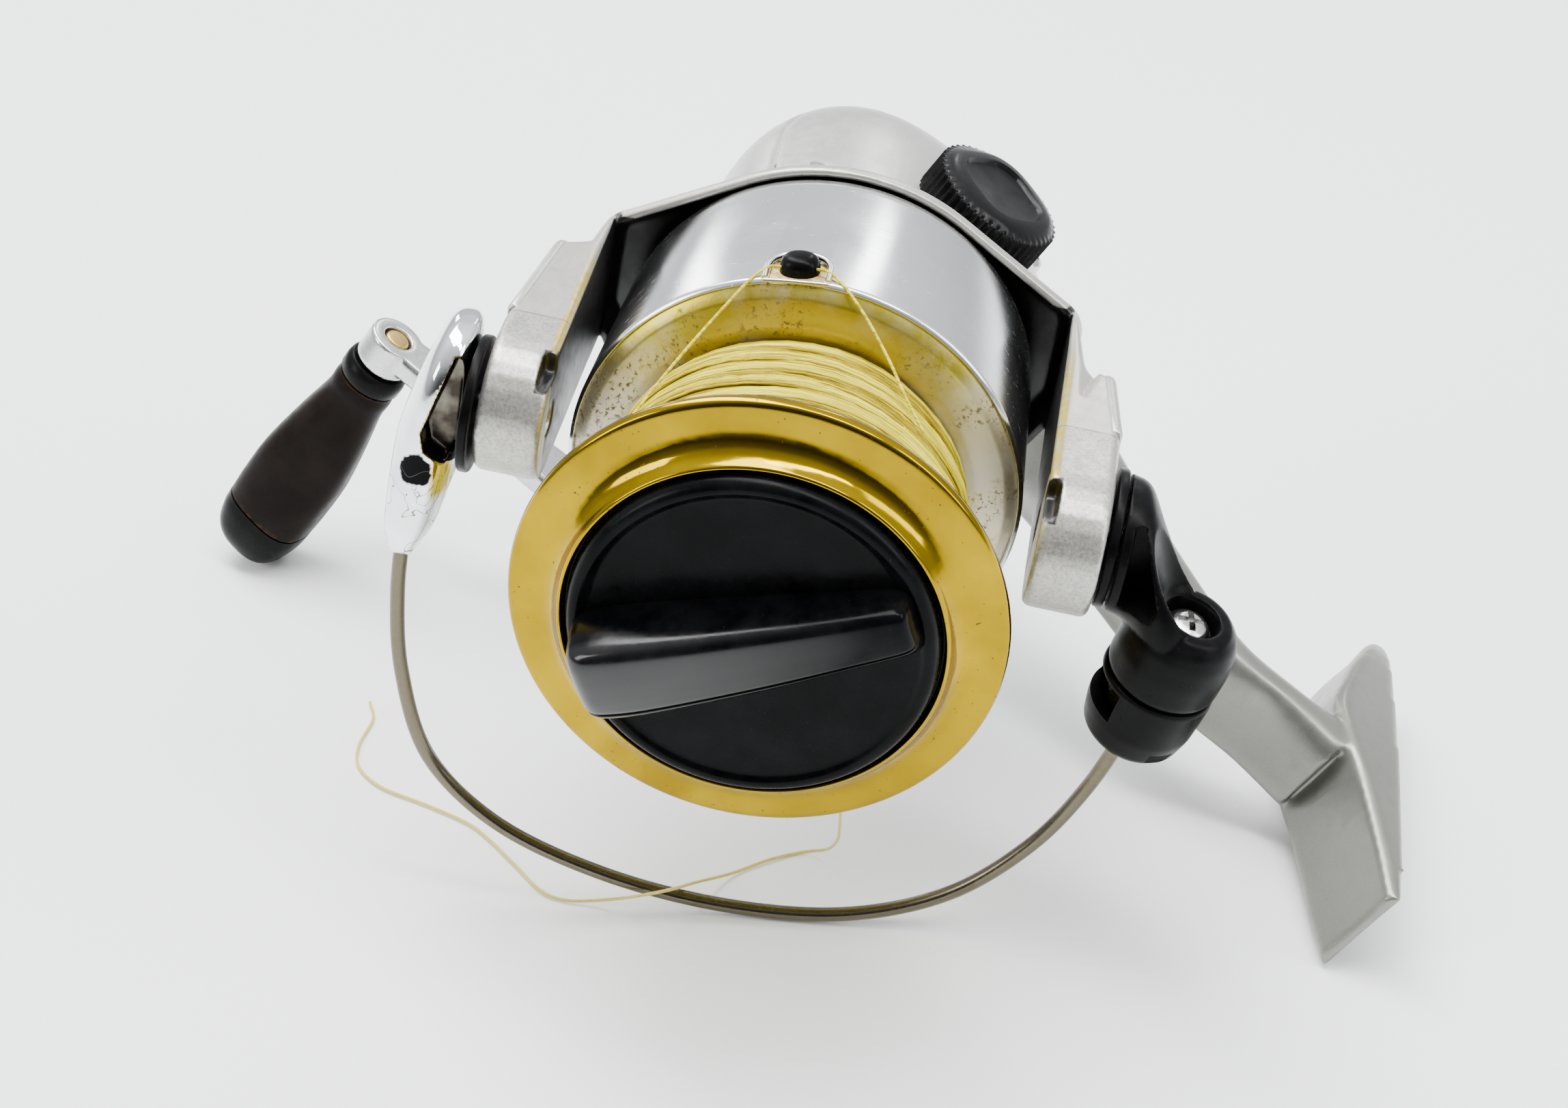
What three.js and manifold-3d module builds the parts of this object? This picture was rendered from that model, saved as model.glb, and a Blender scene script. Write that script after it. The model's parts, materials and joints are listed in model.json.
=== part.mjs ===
// A spinning reel lying on its side: its foot's edge, its bail wire and its handle knob touch the ground.
//
// The reel is modelled in its own axes, in millimetres, with the origin on the spool's axis in the plane of
// the spool's front lip: +X points to the handle's side, +Y to the rear along the spool's axis and +Z to the
// foot. The whole reel is then rolled about the spool's axis onto its three resting points, and moved so
// that the origin of the part is the bottom centre of the reel's box.

import * as THREE from "three";
import { mergeVertices } from "three/addons/utils/BufferGeometryUtils.js";
import Module from "manifold-3d";

const wasm = await Module();
wasm.setup();

// ---------------------------------------------------------------- driving dimensions, in millimetres
const LIP_RADIUS = 31; // spool's front lip
const SKIRT_RADIUS = 29.8; // front edge of the skirt
const SKIRT_REAR_RADIUS = 28.4;
const SKIRT_REAR = 60.6;
const SHAFT_RADIUS = 2.5;
const KNOB_RADIUS = 22.9; // drag knob
const ARM_IN = 31.5; // rotor arms, distance of their inner and outer faces from the spool's axis
const ARM_OUT = 40;
const ROTOR_REAR = 69.5;
const ROTOR_TURN = -26; // degrees from the foot's direction to the line roller's arm
const PIVOT = { b: -7, y: 22.5 }; // bail pivot in the rotor's own axes
const HANDLE = { y: 81.5, z: 8 }; // handle axis
const CRANK_X = 57;
const CRANK_END = { y: 91, z: -46 };
const KNOB_TIP_X = 104;
const FOOT_TOP = 96; // seat of the foot above the spool's axis
const FOOT_HALF_WIDTH = 8.1;
const BODY_SPLIT = -9.9; // plane between the body and its side cover
const WIRE_RADIUS = 1;
const LINE_RADIUS = 0.225;
const REEL_ROLL = 124.8; // degrees about the spool's axis, from foot up to lying on the ground
const GAP = 0.3; // between pieces that touch on the real reel

const ROUND = 28; // sides of a large turned piece
const SMALL = 14; // sides of a small turned piece

// ---------------------------------------------------------------- materials
const finish = (color, roughness, metalness) => () =>
  new THREE.MeshStandardMaterial({ color, roughness, metalness });
const silverPaint = finish(0xb4b3ae, 0.42, 0.6);
const polished = finish(0xd8dadd, 0.14, 1);
const chrome = finish(0xe2e5e8, 0.06, 1);
const gold = finish(0xd8a93a, 0.16, 1);
const steel = finish(0x9c9c9a, 0.32, 1);
const brass = finish(0xb08d4a, 0.4, 1);
const blackPlastic = finish(0x17181a, 0.45, 0);
const blackGloss = finish(0x0c0d0f, 0.2, 0);
const cream = finish(0xe0cd92, 0.5, 0);
const felt = finish(0x8a8274, 0.95, 0);
const braid = finish(0xe3d968, 0.8, 0);

// ---------------------------------------------------------------- geometry helpers
const radians = THREE.MathUtils.degToRad;

// Merges shared corners, drops empty triangles and turns the faces outwards.
function tidy(geometry) {
  const bare = new THREE.BufferGeometry();
  bare.setAttribute("position", geometry.getAttribute("position").clone());
  if (geometry.index) bare.setIndex(geometry.index.clone());
  const merged = mergeVertices(bare, 1e-3);
  const p = merged.getAttribute("position");
  const corner = (i) => new THREE.Vector3().fromBufferAttribute(p, i);
  const kept = [];
  let volume = 0;
  for (let i = 0; i < merged.index.count; i += 3) {
    const [a, b, c] = [0, 1, 2].map((k) => merged.index.getX(i + k));
    if (a === b || b === c || a === c) continue;
    kept.push(a, b, c);
    volume += corner(a).dot(corner(b).cross(corner(c)));
  }
  if (volume < 0) kept.reverse();
  merged.setIndex(kept);
  return merged;
}

function solid(geometry) {
  const g = tidy(geometry);
  const mesh = new wasm.Mesh({
    numProp: 3,
    vertProperties: new Float32Array(g.getAttribute("position").array),
    triVerts: new Uint32Array(g.index.array),
  });
  return new wasm.Manifold(mesh);
}

function surface(body) {
  const m = body.getMesh();
  const p = new Float32Array(m.numVert * 3);
  for (let i = 0; i < m.numVert; i++)
    for (let k = 0; k < 3; k++) p[3 * i + k] = m.vertProperties[m.numProp * i + k];
  const g = new THREE.BufferGeometry();
  g.setAttribute("position", new THREE.BufferAttribute(p, 3));
  g.setIndex(new THREE.BufferAttribute(new Uint32Array(m.triVerts), 1));
  return g;
}

const join = (...pieces) => surface(pieces.map(solid).reduce((a, b) => a.add(b)));
const cut = (base, ...tools) => surface(tools.map(solid).reduce((a, b) => a.subtract(b), solid(base)));
const common = (a, b) => surface(solid(a).intersect(solid(b)));

const vectors = (pairs) => pairs.map(([x, y]) => new THREE.Vector2(x, y));

// Pieces turned about the spool's axis: pairs of radius and place along the axis.
const turned = (pairs, sides = SMALL) =>
  tidy(new THREE.LatheGeometry(vectors([...pairs, pairs[0]]), sides));
const alongX = (geometry, y = 0, z = 0) => geometry.rotateZ(-Math.PI / 2).translate(0, y, z);
const alongZ = (geometry, x = 0, y = 0) => geometry.rotateX(Math.PI / 2).translate(x, y, 0);
const ring = (inner, outer, low, high, sides = SMALL) =>
  turned([[inner, low], [outer, low], [outer, high], [inner, high]], sides);
const disc = (radius, low, high, sides = SMALL) => ring(0, radius, low, high, sides);

const circle = (u, v, radius, sides = 20) =>
  Array.from({ length: sides }, (_, i) => {
    const t = (2 * Math.PI * i) / sides;
    return [u + radius * Math.cos(t), v + radius * Math.sin(t)];
  });

// Outline stretched round a set of points, as a belt round pegs.
function belt(points) {
  const sorted = [...points].sort((p, q) => p[0] - q[0] || p[1] - q[1]);
  const turn = (o, a, b) => (a[0] - o[0]) * (b[1] - o[1]) - (a[1] - o[1]) * (b[0] - o[0]);
  const half = (list) => {
    const h = [];
    for (const p of list) {
      while (h.length > 1 && turn(h.at(-2), h.at(-1), p) <= 1e-9) h.pop();
      h.push(p);
    }
    return h.slice(0, -1);
  };
  return [...half(sorted), ...half(sorted.reverse())];
}

function extrude(outline, depth, bevel = 0) {
  return new THREE.ExtrudeGeometry(new THREE.Shape(vectors(outline)), {
    depth: depth - 2 * bevel,
    bevelEnabled: bevel > 0,
    bevelThickness: bevel,
    bevelSize: bevel,
    bevelOffset: -bevel,
    bevelSegments: 2,
  }).translate(0, 0, bevel);
}
const swap = (x, y, z) => new THREE.Matrix4().makeBasis(x, y, z);
const [AX, AY, AZ] = [0, 1, 2].map((i) => new THREE.Vector3().setComponent(i, 1));
// Slabs between two planes: the outline is in (x, y), in (y, z) or in (z, x).
const slabZ = (outline, low, high, bevel) => extrude(outline, high - low, bevel).translate(0, 0, low);
const slabX = (outline, low, high, bevel) =>
  extrude(outline, high - low, bevel).applyMatrix4(swap(AY, AZ, AX)).translate(low, 0, 0);
const slabY = (outline, low, high, bevel) =>
  extrude(outline, high - low, bevel).applyMatrix4(swap(AZ, AX, AY)).translate(0, low, 0);
const block = (low, high) =>
  new THREE.BoxGeometry(high[0] - low[0], high[1] - low[1], high[2] - low[2]).translate(
    (low[0] + high[0]) / 2, (low[1] + high[1]) / 2, (low[2] + high[2]) / 2);

// Skin over a row of rings of points, closed by a fan at each end.
function loft(rings) {
  const n = rings[0].length;
  const points = rings.flat();
  const faces = [];
  for (let i = 0; i + 1 < rings.length; i++)
    for (let j = 0; j < n; j++) {
      const [a, b] = [i * n + j, i * n + ((j + 1) % n)];
      faces.push(a, b, a + n, b, b + n, a + n);
    }
  for (const [start, flip] of [[0, true], [(rings.length - 1) * n, false]]) {
    const middle = rings[start / n].reduce((s, p) => s.add(p), new THREE.Vector3()).divideScalar(n);
    points.push(middle);
    for (let j = 0; j < n; j++) {
      const [a, b] = [start + j, start + ((j + 1) % n)];
      faces.push(...(flip ? [b, a] : [a, b]), points.length - 1);
    }
  }
  const g = new THREE.BufferGeometry().setFromPoints(points);
  g.setIndex(faces);
  return tidy(g);
}

// Ring of points on a rounded box outline: power 2 is an ellipse, more is squarer.
function oval(centre, u, v, halfU, halfV, power = 2, sides = 24) {
  return Array.from({ length: sides }, (_, i) => {
    const t = (2 * Math.PI * (i + 0.5)) / sides;
    const size = (k) => Math.sign(k) * Math.abs(k) ** (2 / power);
    return new THREE.Vector3(...centre)
      .addScaledVector(u, halfU * size(Math.cos(t)))
      .addScaledVector(v, halfV * size(Math.sin(t)));
  });
}

function tube(points, radius, steps, sides) {
  const path = new THREE.CatmullRomCurve3(points.map((p) => new THREE.Vector3(...p)), false, "centripetal");
  const shape = new THREE.Shape(vectors(circle(0, 0, radius, sides)));
  return tidy(new THREE.ExtrudeGeometry(shape, { steps, extrudePath: path, bevelEnabled: false }));
}

function coil(radius, low, high, turns, wire) {
  const steps = turns * 10;
  const points = Array.from({ length: steps + 1 }, (_, i) => {
    const t = (2 * Math.PI * i) / 10;
    return [radius * Math.cos(t), low + ((high - low) * i) / steps, radius * Math.sin(t)];
  });
  return tube(points, wire, steps, 5);
}

// Outline of a toothed wheel: teeth have flat tips and flat roots.
const toothed = (count, root, tip) =>
  Array.from({ length: count * 4 }, (_, i) => {
    const t = (2 * Math.PI * (i + 0.5)) / (count * 4);
    const r = i % 4 < 2 ? tip : root;
    return [r * Math.cos(t), r * Math.sin(t)];
  });

function piece(parent, name, geometry, material) {
  const flat = tidy(geometry).toNonIndexed();
  flat.computeVertexNormals();
  const mesh = new THREE.Mesh(flat, material());
  mesh.name = name;
  parent.add(mesh);
  return mesh;
}

// ---------------------------------------------------------------- spool
const SPOOL_BORE = 5.3;
const DRAG_CUP = { radius: 14.8, floor: 16.5 };
const CLIP_ANGLE = 214.3; // degrees in the (x, z) plane

function buildSpool(reel) {
  const flangeRadius = SKIRT_RADIUS - 2.6;
  piece(reel, "spool_body", turned([
    [DRAG_CUP.radius, -1.5], [16.8, -1.5], [16.8, 2.8], [18, 2.8], [18, 28.6], [flangeRadius, 29.6],
    [flangeRadius, 32.6], [9, 32.6], [9, 36], [SPOOL_BORE, 36], [SPOOL_BORE, DRAG_CUP.floor],
    [DRAG_CUP.radius, DRAG_CUP.floor],
  ], ROUND), gold);
  piece(reel, "spool_lip", turned([
    [17.1, -2.2], [23.3, -2.2], [23.3, -4.1], [24, -4.4], [24.6, -3.9], [25.6, -2.3], [29.6, -1.3],
    [30.7, -0.7], [LIP_RADIUS, 0.2], [30.6, 1.2], [29.6, 1.7], [24, 2.4], [17.1, 2.4],
  ], ROUND), gold);
  const skirt = turned([
    [flangeRadius + GAP, 29.9], [SKIRT_RADIUS - 1.1, 29.7], [SKIRT_RADIUS, 30.8],
    [SKIRT_REAR_RADIUS, SKIRT_REAR], [SKIRT_REAR_RADIUS - 1.2, SKIRT_REAR], [flangeRadius + 0.1, 34.4],
    [23, 34.4], [23, 32.9], [flangeRadius + GAP, 32.9],
  ], ROUND);
  const atClip = (g) => g.rotateY(-radians(CLIP_ANGLE));
  const window = atClip(block([28.6, 30.6, -4.2], [31, 37, 4.2]));
  piece(reel, "spool_skirt", cut(skirt, window), polished);
  piece(reel, "clip_seat", atClip(block([28.9, 30.9, -3.9], [29.5, 36.7, 3.9])), cream);
  const clip = belt([
    ...circle(30.4, -1.7, 0.5, 8), ...circle(30.4, 1.7, 0.5, 8), ...circle(30.6, 0, 0.6, 8),
  ]);
  piece(reel, "line_clip", atClip(slabY(clip.map(([x, z]) => [z, x]), 32.2, 35.2)), blackPlastic);
  piece(reel, "line_winding", turned([
    [18.3, 3.1], [25.2, 3.1], [25.8, 5.2], [24.9, 14], [23.7, 26], [22.6, 28.2], [18.3, 28.2],
  ], ROUND), braid);
  piece(reel, "spool_bush", ring(SHAFT_RADIUS + GAP, SPOOL_BORE - GAP, 17, 36, 16), blackPlastic);
  const stack = [9.4, 12.2, 15];
  stack.forEach((y, i) =>
    piece(reel, `drag_felt_${i + 1}`, ring(4, DRAG_CUP.radius - GAP, y, y + 1.1, 24), felt));
  piece(reel, "drag_retainer", ring(11.8, DRAG_CUP.radius - GAP, 8, 9.1, 24), steel);
}

function buildShaft(reel) {
  const shaft = disc(SHAFT_RADIUS, -1.5, 106.2, 16);
  const pinY = 39.4;
  const hole = alongX(disc(1.2, -4, 4, 10), pinY);
  piece(reel, "main_shaft", cut(shaft, hole), steel);
  piece(reel, "shaft_pin", alongX(disc(0.9, -5, 5, 10), pinY), steel);
  [10.8, 13.6].forEach((y, i) =>
    piece(reel, `drag_washer_${i + 1}`, ring(SHAFT_RADIUS + GAP, 14.2, y, y + 1.1, 24), steel));
  const ratchet = slabY(toothed(16, 10.6, 11.6), 36.6, 38);
  piece(reel, "click_ratchet", cut(ratchet, disc(SHAFT_RADIUS + GAP, 36, 39, 16)), blackPlastic);
  const slider = block([-4.9, 101.5, -7.6], [2.8, 106.5, 6.5]);
  const bores = [disc(SHAFT_RADIUS + GAP, 101, 107, 16), disc(1.35, 101, 107, 12).translate(0, 0, -5.4)];
  piece(reel, "oscillation_slider", cut(slider, ...bores), brass);
}

function buildDragKnob(reel) {
  const shell = turned([
    [0, -6], [12, -5.8], [20, -5.3], [KNOB_RADIUS - 0.8, -5], [KNOB_RADIUS, -4.2], [KNOB_RADIUS, -2.6],
    [14.2, -2.6], [14.2, 4.6], [8, 4.6], [8, -1.8], [0, -1.8],
  ], ROUND);
  // Finger bar: broad and high at one end of the knob's face, low and narrow at the other.
  const stations = [[19.5, 7.4, 8.4], [16, 7.9, 9.6], [4, 6.6, 8], [-10, 4.6, 6], [-19, 3, 3.4]];
  const bar = loft(stations.map(([x, half, high]) =>
    [[-half, -4.5], [-half, -5.4], [-half * 0.62, -4.5 - high], [half * 0.62, -4.5 - high], [half, -5.4],
      [half, -4.5]].map(([z, y]) => new THREE.Vector3(x, y, z))));
  piece(reel, "drag_knob", join(shell, bar.rotateY(radians(40.2))), blackPlastic);
  const nut = slabY(circle(0, 0, 6.6, 6), -1, 3.4);
  piece(reel, "drag_nut", cut(nut, disc(SHAFT_RADIUS + GAP, -2, 4, 16)), brass);
  piece(reel, "drag_spring", coil(5.6, 5.2, 7.8, 2, 0.55), steel);
}

// ---------------------------------------------------------------- rotor, in axes b (x), y and s (z)
// The arms' rounded ends: the bail arm's side ends further back than the line roller's.
const armOutline = (tipY) => belt([
  ...circle(PIVOT.b, tipY, 9.5, 24), ...circle(-11.5, ROTOR_REAR - 5, 5, 12),
  ...circle(-1.5, ROTOR_REAR - 5, 5, 12),
]);
const coverOutline = (inset) => belt([
  ...circle(PIVOT.b, 38.5, 5.6 - inset, 16), ...circle(-10.5, 47.6, 3.6 - inset, 12),
  ...circle(-2.5, 47.6, 3.6 - inset, 12),
]);
// Side view of both arms, which lean in to the rotor's rear rim behind the bail pivots.
const armSide = () => slabX([[0, 30], [0, 41], [52, 41], [71, 32.5], [71, 30]], -30, 30);

function buildRotor(rotor) {
  const cup = turned([
    [0, 44], [24.6, 44], [25.4, 45], [25.4, 61.5], [29.4, 62.3], [29.4, ROTOR_REAR], [0, ROTOR_REAR],
  ], ROUND);
  const corners = [-11.5, -1.5].flatMap((b) => [-28.5, 28.5].flatMap((s) => circle(s, b, 5, 12)));
  const base = slabY(belt([...circle(0, 0, 29.4, 48), ...corners]), 63.5, ROTOR_REAR);
  const thick = ARM_OUT - ARM_IN;
  const rollerSide = common(slabZ(armOutline(20.5), ARM_IN, ARM_IN + thick), armSide());
  const bailSide = common(slabZ(armOutline(25), -ARM_OUT, thick - ARM_OUT), armSide().rotateY(Math.PI));
  const hollow = turned([
    [0, 53], [8.2, 53], [8.2, 46.8], [23.4, 46.8], [23.8, ROTOR_REAR + 1], [0, ROTOR_REAR + 1],
  ], ROUND);
  const coverSeats = [38.6, -42].map((low) => slabZ(coverOutline(0), low, low + 3.4));
  const springPocket = block([-11, 33.5, 33.4], [-3, 49.5, 41]);
  const pivots = [-1, 1].flatMap((k) => [
    alongZ(disc(2.3, 30, 42, 14), PIVOT.b, PIVOT.y).scale(1, 1, k),
    alongZ(disc(3.7, 30, 35.3, 14), PIVOT.b, PIVOT.y).scale(1, 1, k),
  ]);
  const frame = cut(join(cup, base, rollerSide, bailSide), hollow, disc(SPOOL_BORE, 43, 54), ...coverSeats,
    springPocket, ...pivots);
  piece(rotor, "rotor_frame", frame, silverPaint);
  piece(rotor, "arm_cover_roller", slabZ(coverOutline(GAP), 38.9, 40.6), silverPaint);
  piece(rotor, "arm_cover_bail", slabZ(coverOutline(GAP), -40.6, -38.9), silverPaint);
  const spring = coil(1.8, 40.4, 48.4, 3, 0.4).translate(-7, 0, 36);
  piece(rotor, "bail_spring", spring, steel);
  piece(rotor, "kick_lever", slabZ(belt([...circle(-7, 36, 2, 12), ...circle(-5.5, 38.4, 1, 8)]), 35, 38),
    blackPlastic);
  for (const [name, low] of [["pivot_washer_roller", ARM_OUT + GAP], ["pivot_washer_bail", -41.6]])
    piece(rotor, name, cut(slabZ(circle(PIVOT.b, PIVOT.y, 9, 24), low, low + 1.3),
      alongZ(disc(2.3, low - 1, low + 3, 14), PIVOT.b, PIVOT.y)), blackPlastic);
  const nut = slabY(circle(0, 0, 8.4, 6), 40.8, 43.7);
  piece(rotor, "rotor_nut", cut(nut, disc(SPOOL_BORE, 40, 45)), brass);
  const teeth = slabY(toothed(8, 3.6, 4.6), 66, 75.8);
  const quill = disc(SPOOL_BORE - GAP, 41, 67.4);
  piece(rotor, "pinion_gear", cut(join(quill, teeth), disc(SHAFT_RADIUS + 0.5, 40, 77, 16)), brass);
}

// ---------------------------------------------------------------- bail, in the rotor's axes
const WIRE_TILT = 4.3; // degrees that the wire's plane leans forward
const WIRE_POINTS = [ // distance along the pivot's direction, and out from the spool's axis
  [-48, 11], [-47.8, 22], [-46, 34], [-41, 46.5], [-31, 54.8], [-15, 59.6], [3, 60.4], [19, 57.4],
  [31.5, 50.5], [40.5, 40], [45.5, 30], [48.3, 21], [48.8, 16.4],
];
const wirePath = () => WIRE_POINTS.map(([s, w]) => {
  const lean = radians(WIRE_TILT);
  return [w * Math.cos(lean), 20 - w * Math.sin(lean), s];
});
const ROLLER_CENTRE = [1.5, 16.3, 52.2]; // centre of the black arm's end
const ROLLER_DIRECTION = new THREE.Vector3(0.981, 0.102, -0.18).normalize();
// Turns a piece made along Y onto the line roller's axis.
function onRoller(geometry) {
  const turn = new THREE.Quaternion().setFromUnitVectors(AY, ROLLER_DIRECTION);
  return geometry.applyQuaternion(turn).translate(...ROLLER_CENTRE);
}

function buildBail(bail, roller) {
  const wireCut = tube(wirePath(), WIRE_RADIUS + GAP, 30, 8);
  const pivotHole = (k) => alongZ(disc(2.3, 41, 46.3, 14), PIVOT.b, PIVOT.y).scale(1, 1, k);
  // Chrome arm: stations along b give the middle in y and s, then the half width in s and in y.
  const tear = loft([
    [-16.8, 26, -45.2, 2.6, 2.2], [-15.4, 26, -45.9, 3.7, 5.2], [-12.5, 26, -46.1, 4.2, 7.9],
    [-8, 26, -46.2, 4.3, 9], [-2, 25, -46.3, 4.4, 8.2], [4, 22.8, -46.8, 3.9, 6.2],
    [10, 20.9, -47.4, 3.2, 4], [14, 19.9, -48, 2.2, 2.5], [15.6, 19.7, -48, 1.4, 1.5],
  ].map(([b, y, s, halfS, halfY]) => oval([b, y, s], AZ, AY, halfS, halfY, 2.6, 20)));
  const tearHollow = slabY([
    [-42.7, -13.5], [-44.4, -13.5], [-47.2, -3.5], [-43.2, -0.6], [-42.7, -2.5],
  ], 8, 20.2);
  piece(bail, "bail_arm", cut(tear, wireCut, tearHollow, pivotHole(-1)), chrome);
  for (const [name, k] of [["pivot_screw_bail", -1], ["pivot_screw_roller", 1]]) {
    const screw = turned([[0, 33.5], [3.3, 33.5], [3.3, 35], [2, 35], [2, 46], [0, 46]], 14);
    piece(bail, name, alongZ(screw, PIVOT.b, PIVOT.y).scale(1, 1, k), steel);
  }
  const stations = [
    [41.9, -7, 22, 8.8], [44.6, -6.4, 21.2, 8.6], [47.2, -3.6, 18.8, 7.8], [50, -0.4, 17, 7],
    [52.6, 1.2, 16.4, 5.6],
  ];
  const lever = loft(stations.map(([s, b, y, r]) => oval([b, y, s], AX, AY, r, r, 2, 20)));
  const bulb = onRoller(turned([
    [0, -4], [4.6, -4], [6.2, -2.8], [7.2, -0.4], [7.5, 2.4], [7.4, 6.6], [0, 6.6],
  ], 24));
  const leverHollow = slabY([[43.3, -13], [44.6, -13], [47.8, -4.4], [43.3, -2.8]], 6, 19.6);
  const screwWell = onRoller(disc(3.4, -14, -1.2));
  const screwHole = onRoller(disc(1.8, -2, 9, 12));
  const beyond = onRoller(disc(12, 6.6, 20, 24));
  const crankRoom = ring(54.2, 70, 21.6, 30, 48); // lets the end of the crank pass outside
  piece(bail, "roller_arm", cut(join(lever, bulb), screwWell, screwHole, beyond, leverHollow, pivotHole(1),
    crankRoom), blackPlastic);
  // Drum that holds the wire and roofs the line roller, with a window towards the spool.
  const drum = onRoller(turned([[0, 6.9], [7.5, 6.9], [7.4, 13], [6.4, 17], [3.6, 18.4], [0, 18.4]], 24));
  const rollerRoom = onRoller(disc(5.7, 6, 13, 24));
  const window = onRoller(block([-5, 7.7, -12], [5, 12.4, -2]));
  const drumHole = onRoller(disc(1.8, 12.5, 14, 12));
  piece(bail, "wire_holder", cut(drum, wireCut, rollerRoom, window, drumHole, crankRoom), blackPlastic);
  piece(bail, "bail_wire", tube(wirePath(), WIRE_RADIUS, 36, 8), steel);
  const head = [[0, -3.4], [1.6, -3.2], [2.75, -2.2], [2.75, -1.5], [1.5, -1.5], [1.5, 13.7], [0, 13.7]];
  piece(bail, "roller_screw", onRoller(turned(head, 16)), steel);
  piece(bail, "roller_bush", onRoller(ring(1.8, 2.9, 7, 12.6, 14)), brass);
  piece(roller, "line_roller", onRoller(turned([
    [3.2, 7.2], [5.1, 7.2], [5.3, 8], [4.6, 10], [5.3, 11.8], [5.1, 12.5], [3.2, 12.5],
  ], 24)), blackGloss);
}

// ---------------------------------------------------------------- body, stem and foot
const BODY_RINGS = [ // place along the axis, half width, half height, height of the middle
  [71.2, 18.8, 23, 3], [76, 19.6, 25.5, 4], [86, 19.8, 26.5, 4.5], [96, 19.2, 24.5, 3], [104, 17.4, 20, 1.5],
  [110, 12.5, 13.5, 1], [113.4, 5.5, 6, 0.5],
];
const STEM = [ // middle in y and z, half thickness, half width
  [87, 22, 11, 12], [78.5, 34.5, 6.5, 9.5], [69, 45.5, 4.8, 8], [59, 56, 4, 7.2], [49.5, 67.5, 3.4, 7],
  [47, 78, 3.2, 7], [45, 87, 4.6, 7.3],
];
const FOOT = [ // place along the axis, half width, underside
  [16, FOOT_HALF_WIDTH - 0.5, 93.8], [22, FOOT_HALF_WIDTH - 0.1, 92.4], [30, FOOT_HALF_WIDTH, 90.6],
  [38, FOOT_HALF_WIDTH, 88.6], [44, FOOT_HALF_WIDTH, 86.5], [52, FOOT_HALF_WIDTH - 0.2, 85],
  [62, 7.4, 87.6], [70, 6.8, 90.6], [75, 5.6, 92.8], [77.6, 3.8, 94.2],
];
const COVER_SCREWS = [[77, -14, 16.2], [106, 9, 15.6], [95, 20.5, 15.4]]; // y, z and depth of the head
const LEVER = { x: 13, y: 103, z: -18.6, half: 2 }; // middle of the anti-reverse lever's pivot
const OSCILLATION = { y: 94, z: 3 }; // axis of the oscillation gear
const GEAR_X = { back: -9.6, web: -7.4, tip: -5.4 };

const pod = () => loft(BODY_RINGS.map(([y, hx, hz, z]) => oval([0, y, z], AX, AZ, hx, hz, 2.3, 28)));

function stem(grow = 0) {
  return loft(STEM.map(([y, z, thick, wide], i) => {
    const [before, after] = [STEM[Math.max(i - 1, 0)], STEM[Math.min(i + 1, STEM.length - 1)]];
    const along = new THREE.Vector3(0, after[0] - before[0], after[1] - before[1]).normalize();
    const across = new THREE.Vector3().crossVectors(along, AX);
    return oval([0, y, z], AX, across, wide + grow, thick + grow, 3, 16);
  }));
}

const foot = () => loft(FOOT.map(([y, half, low]) =>
  [[-half, low + 1.2], [-half, FOOT_TOP], [half, FOOT_TOP], [half, low + 1.2], [half - 2, low],
    [2 - half, low]].map(([x, z]) => new THREE.Vector3(x, y, z))));

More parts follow.
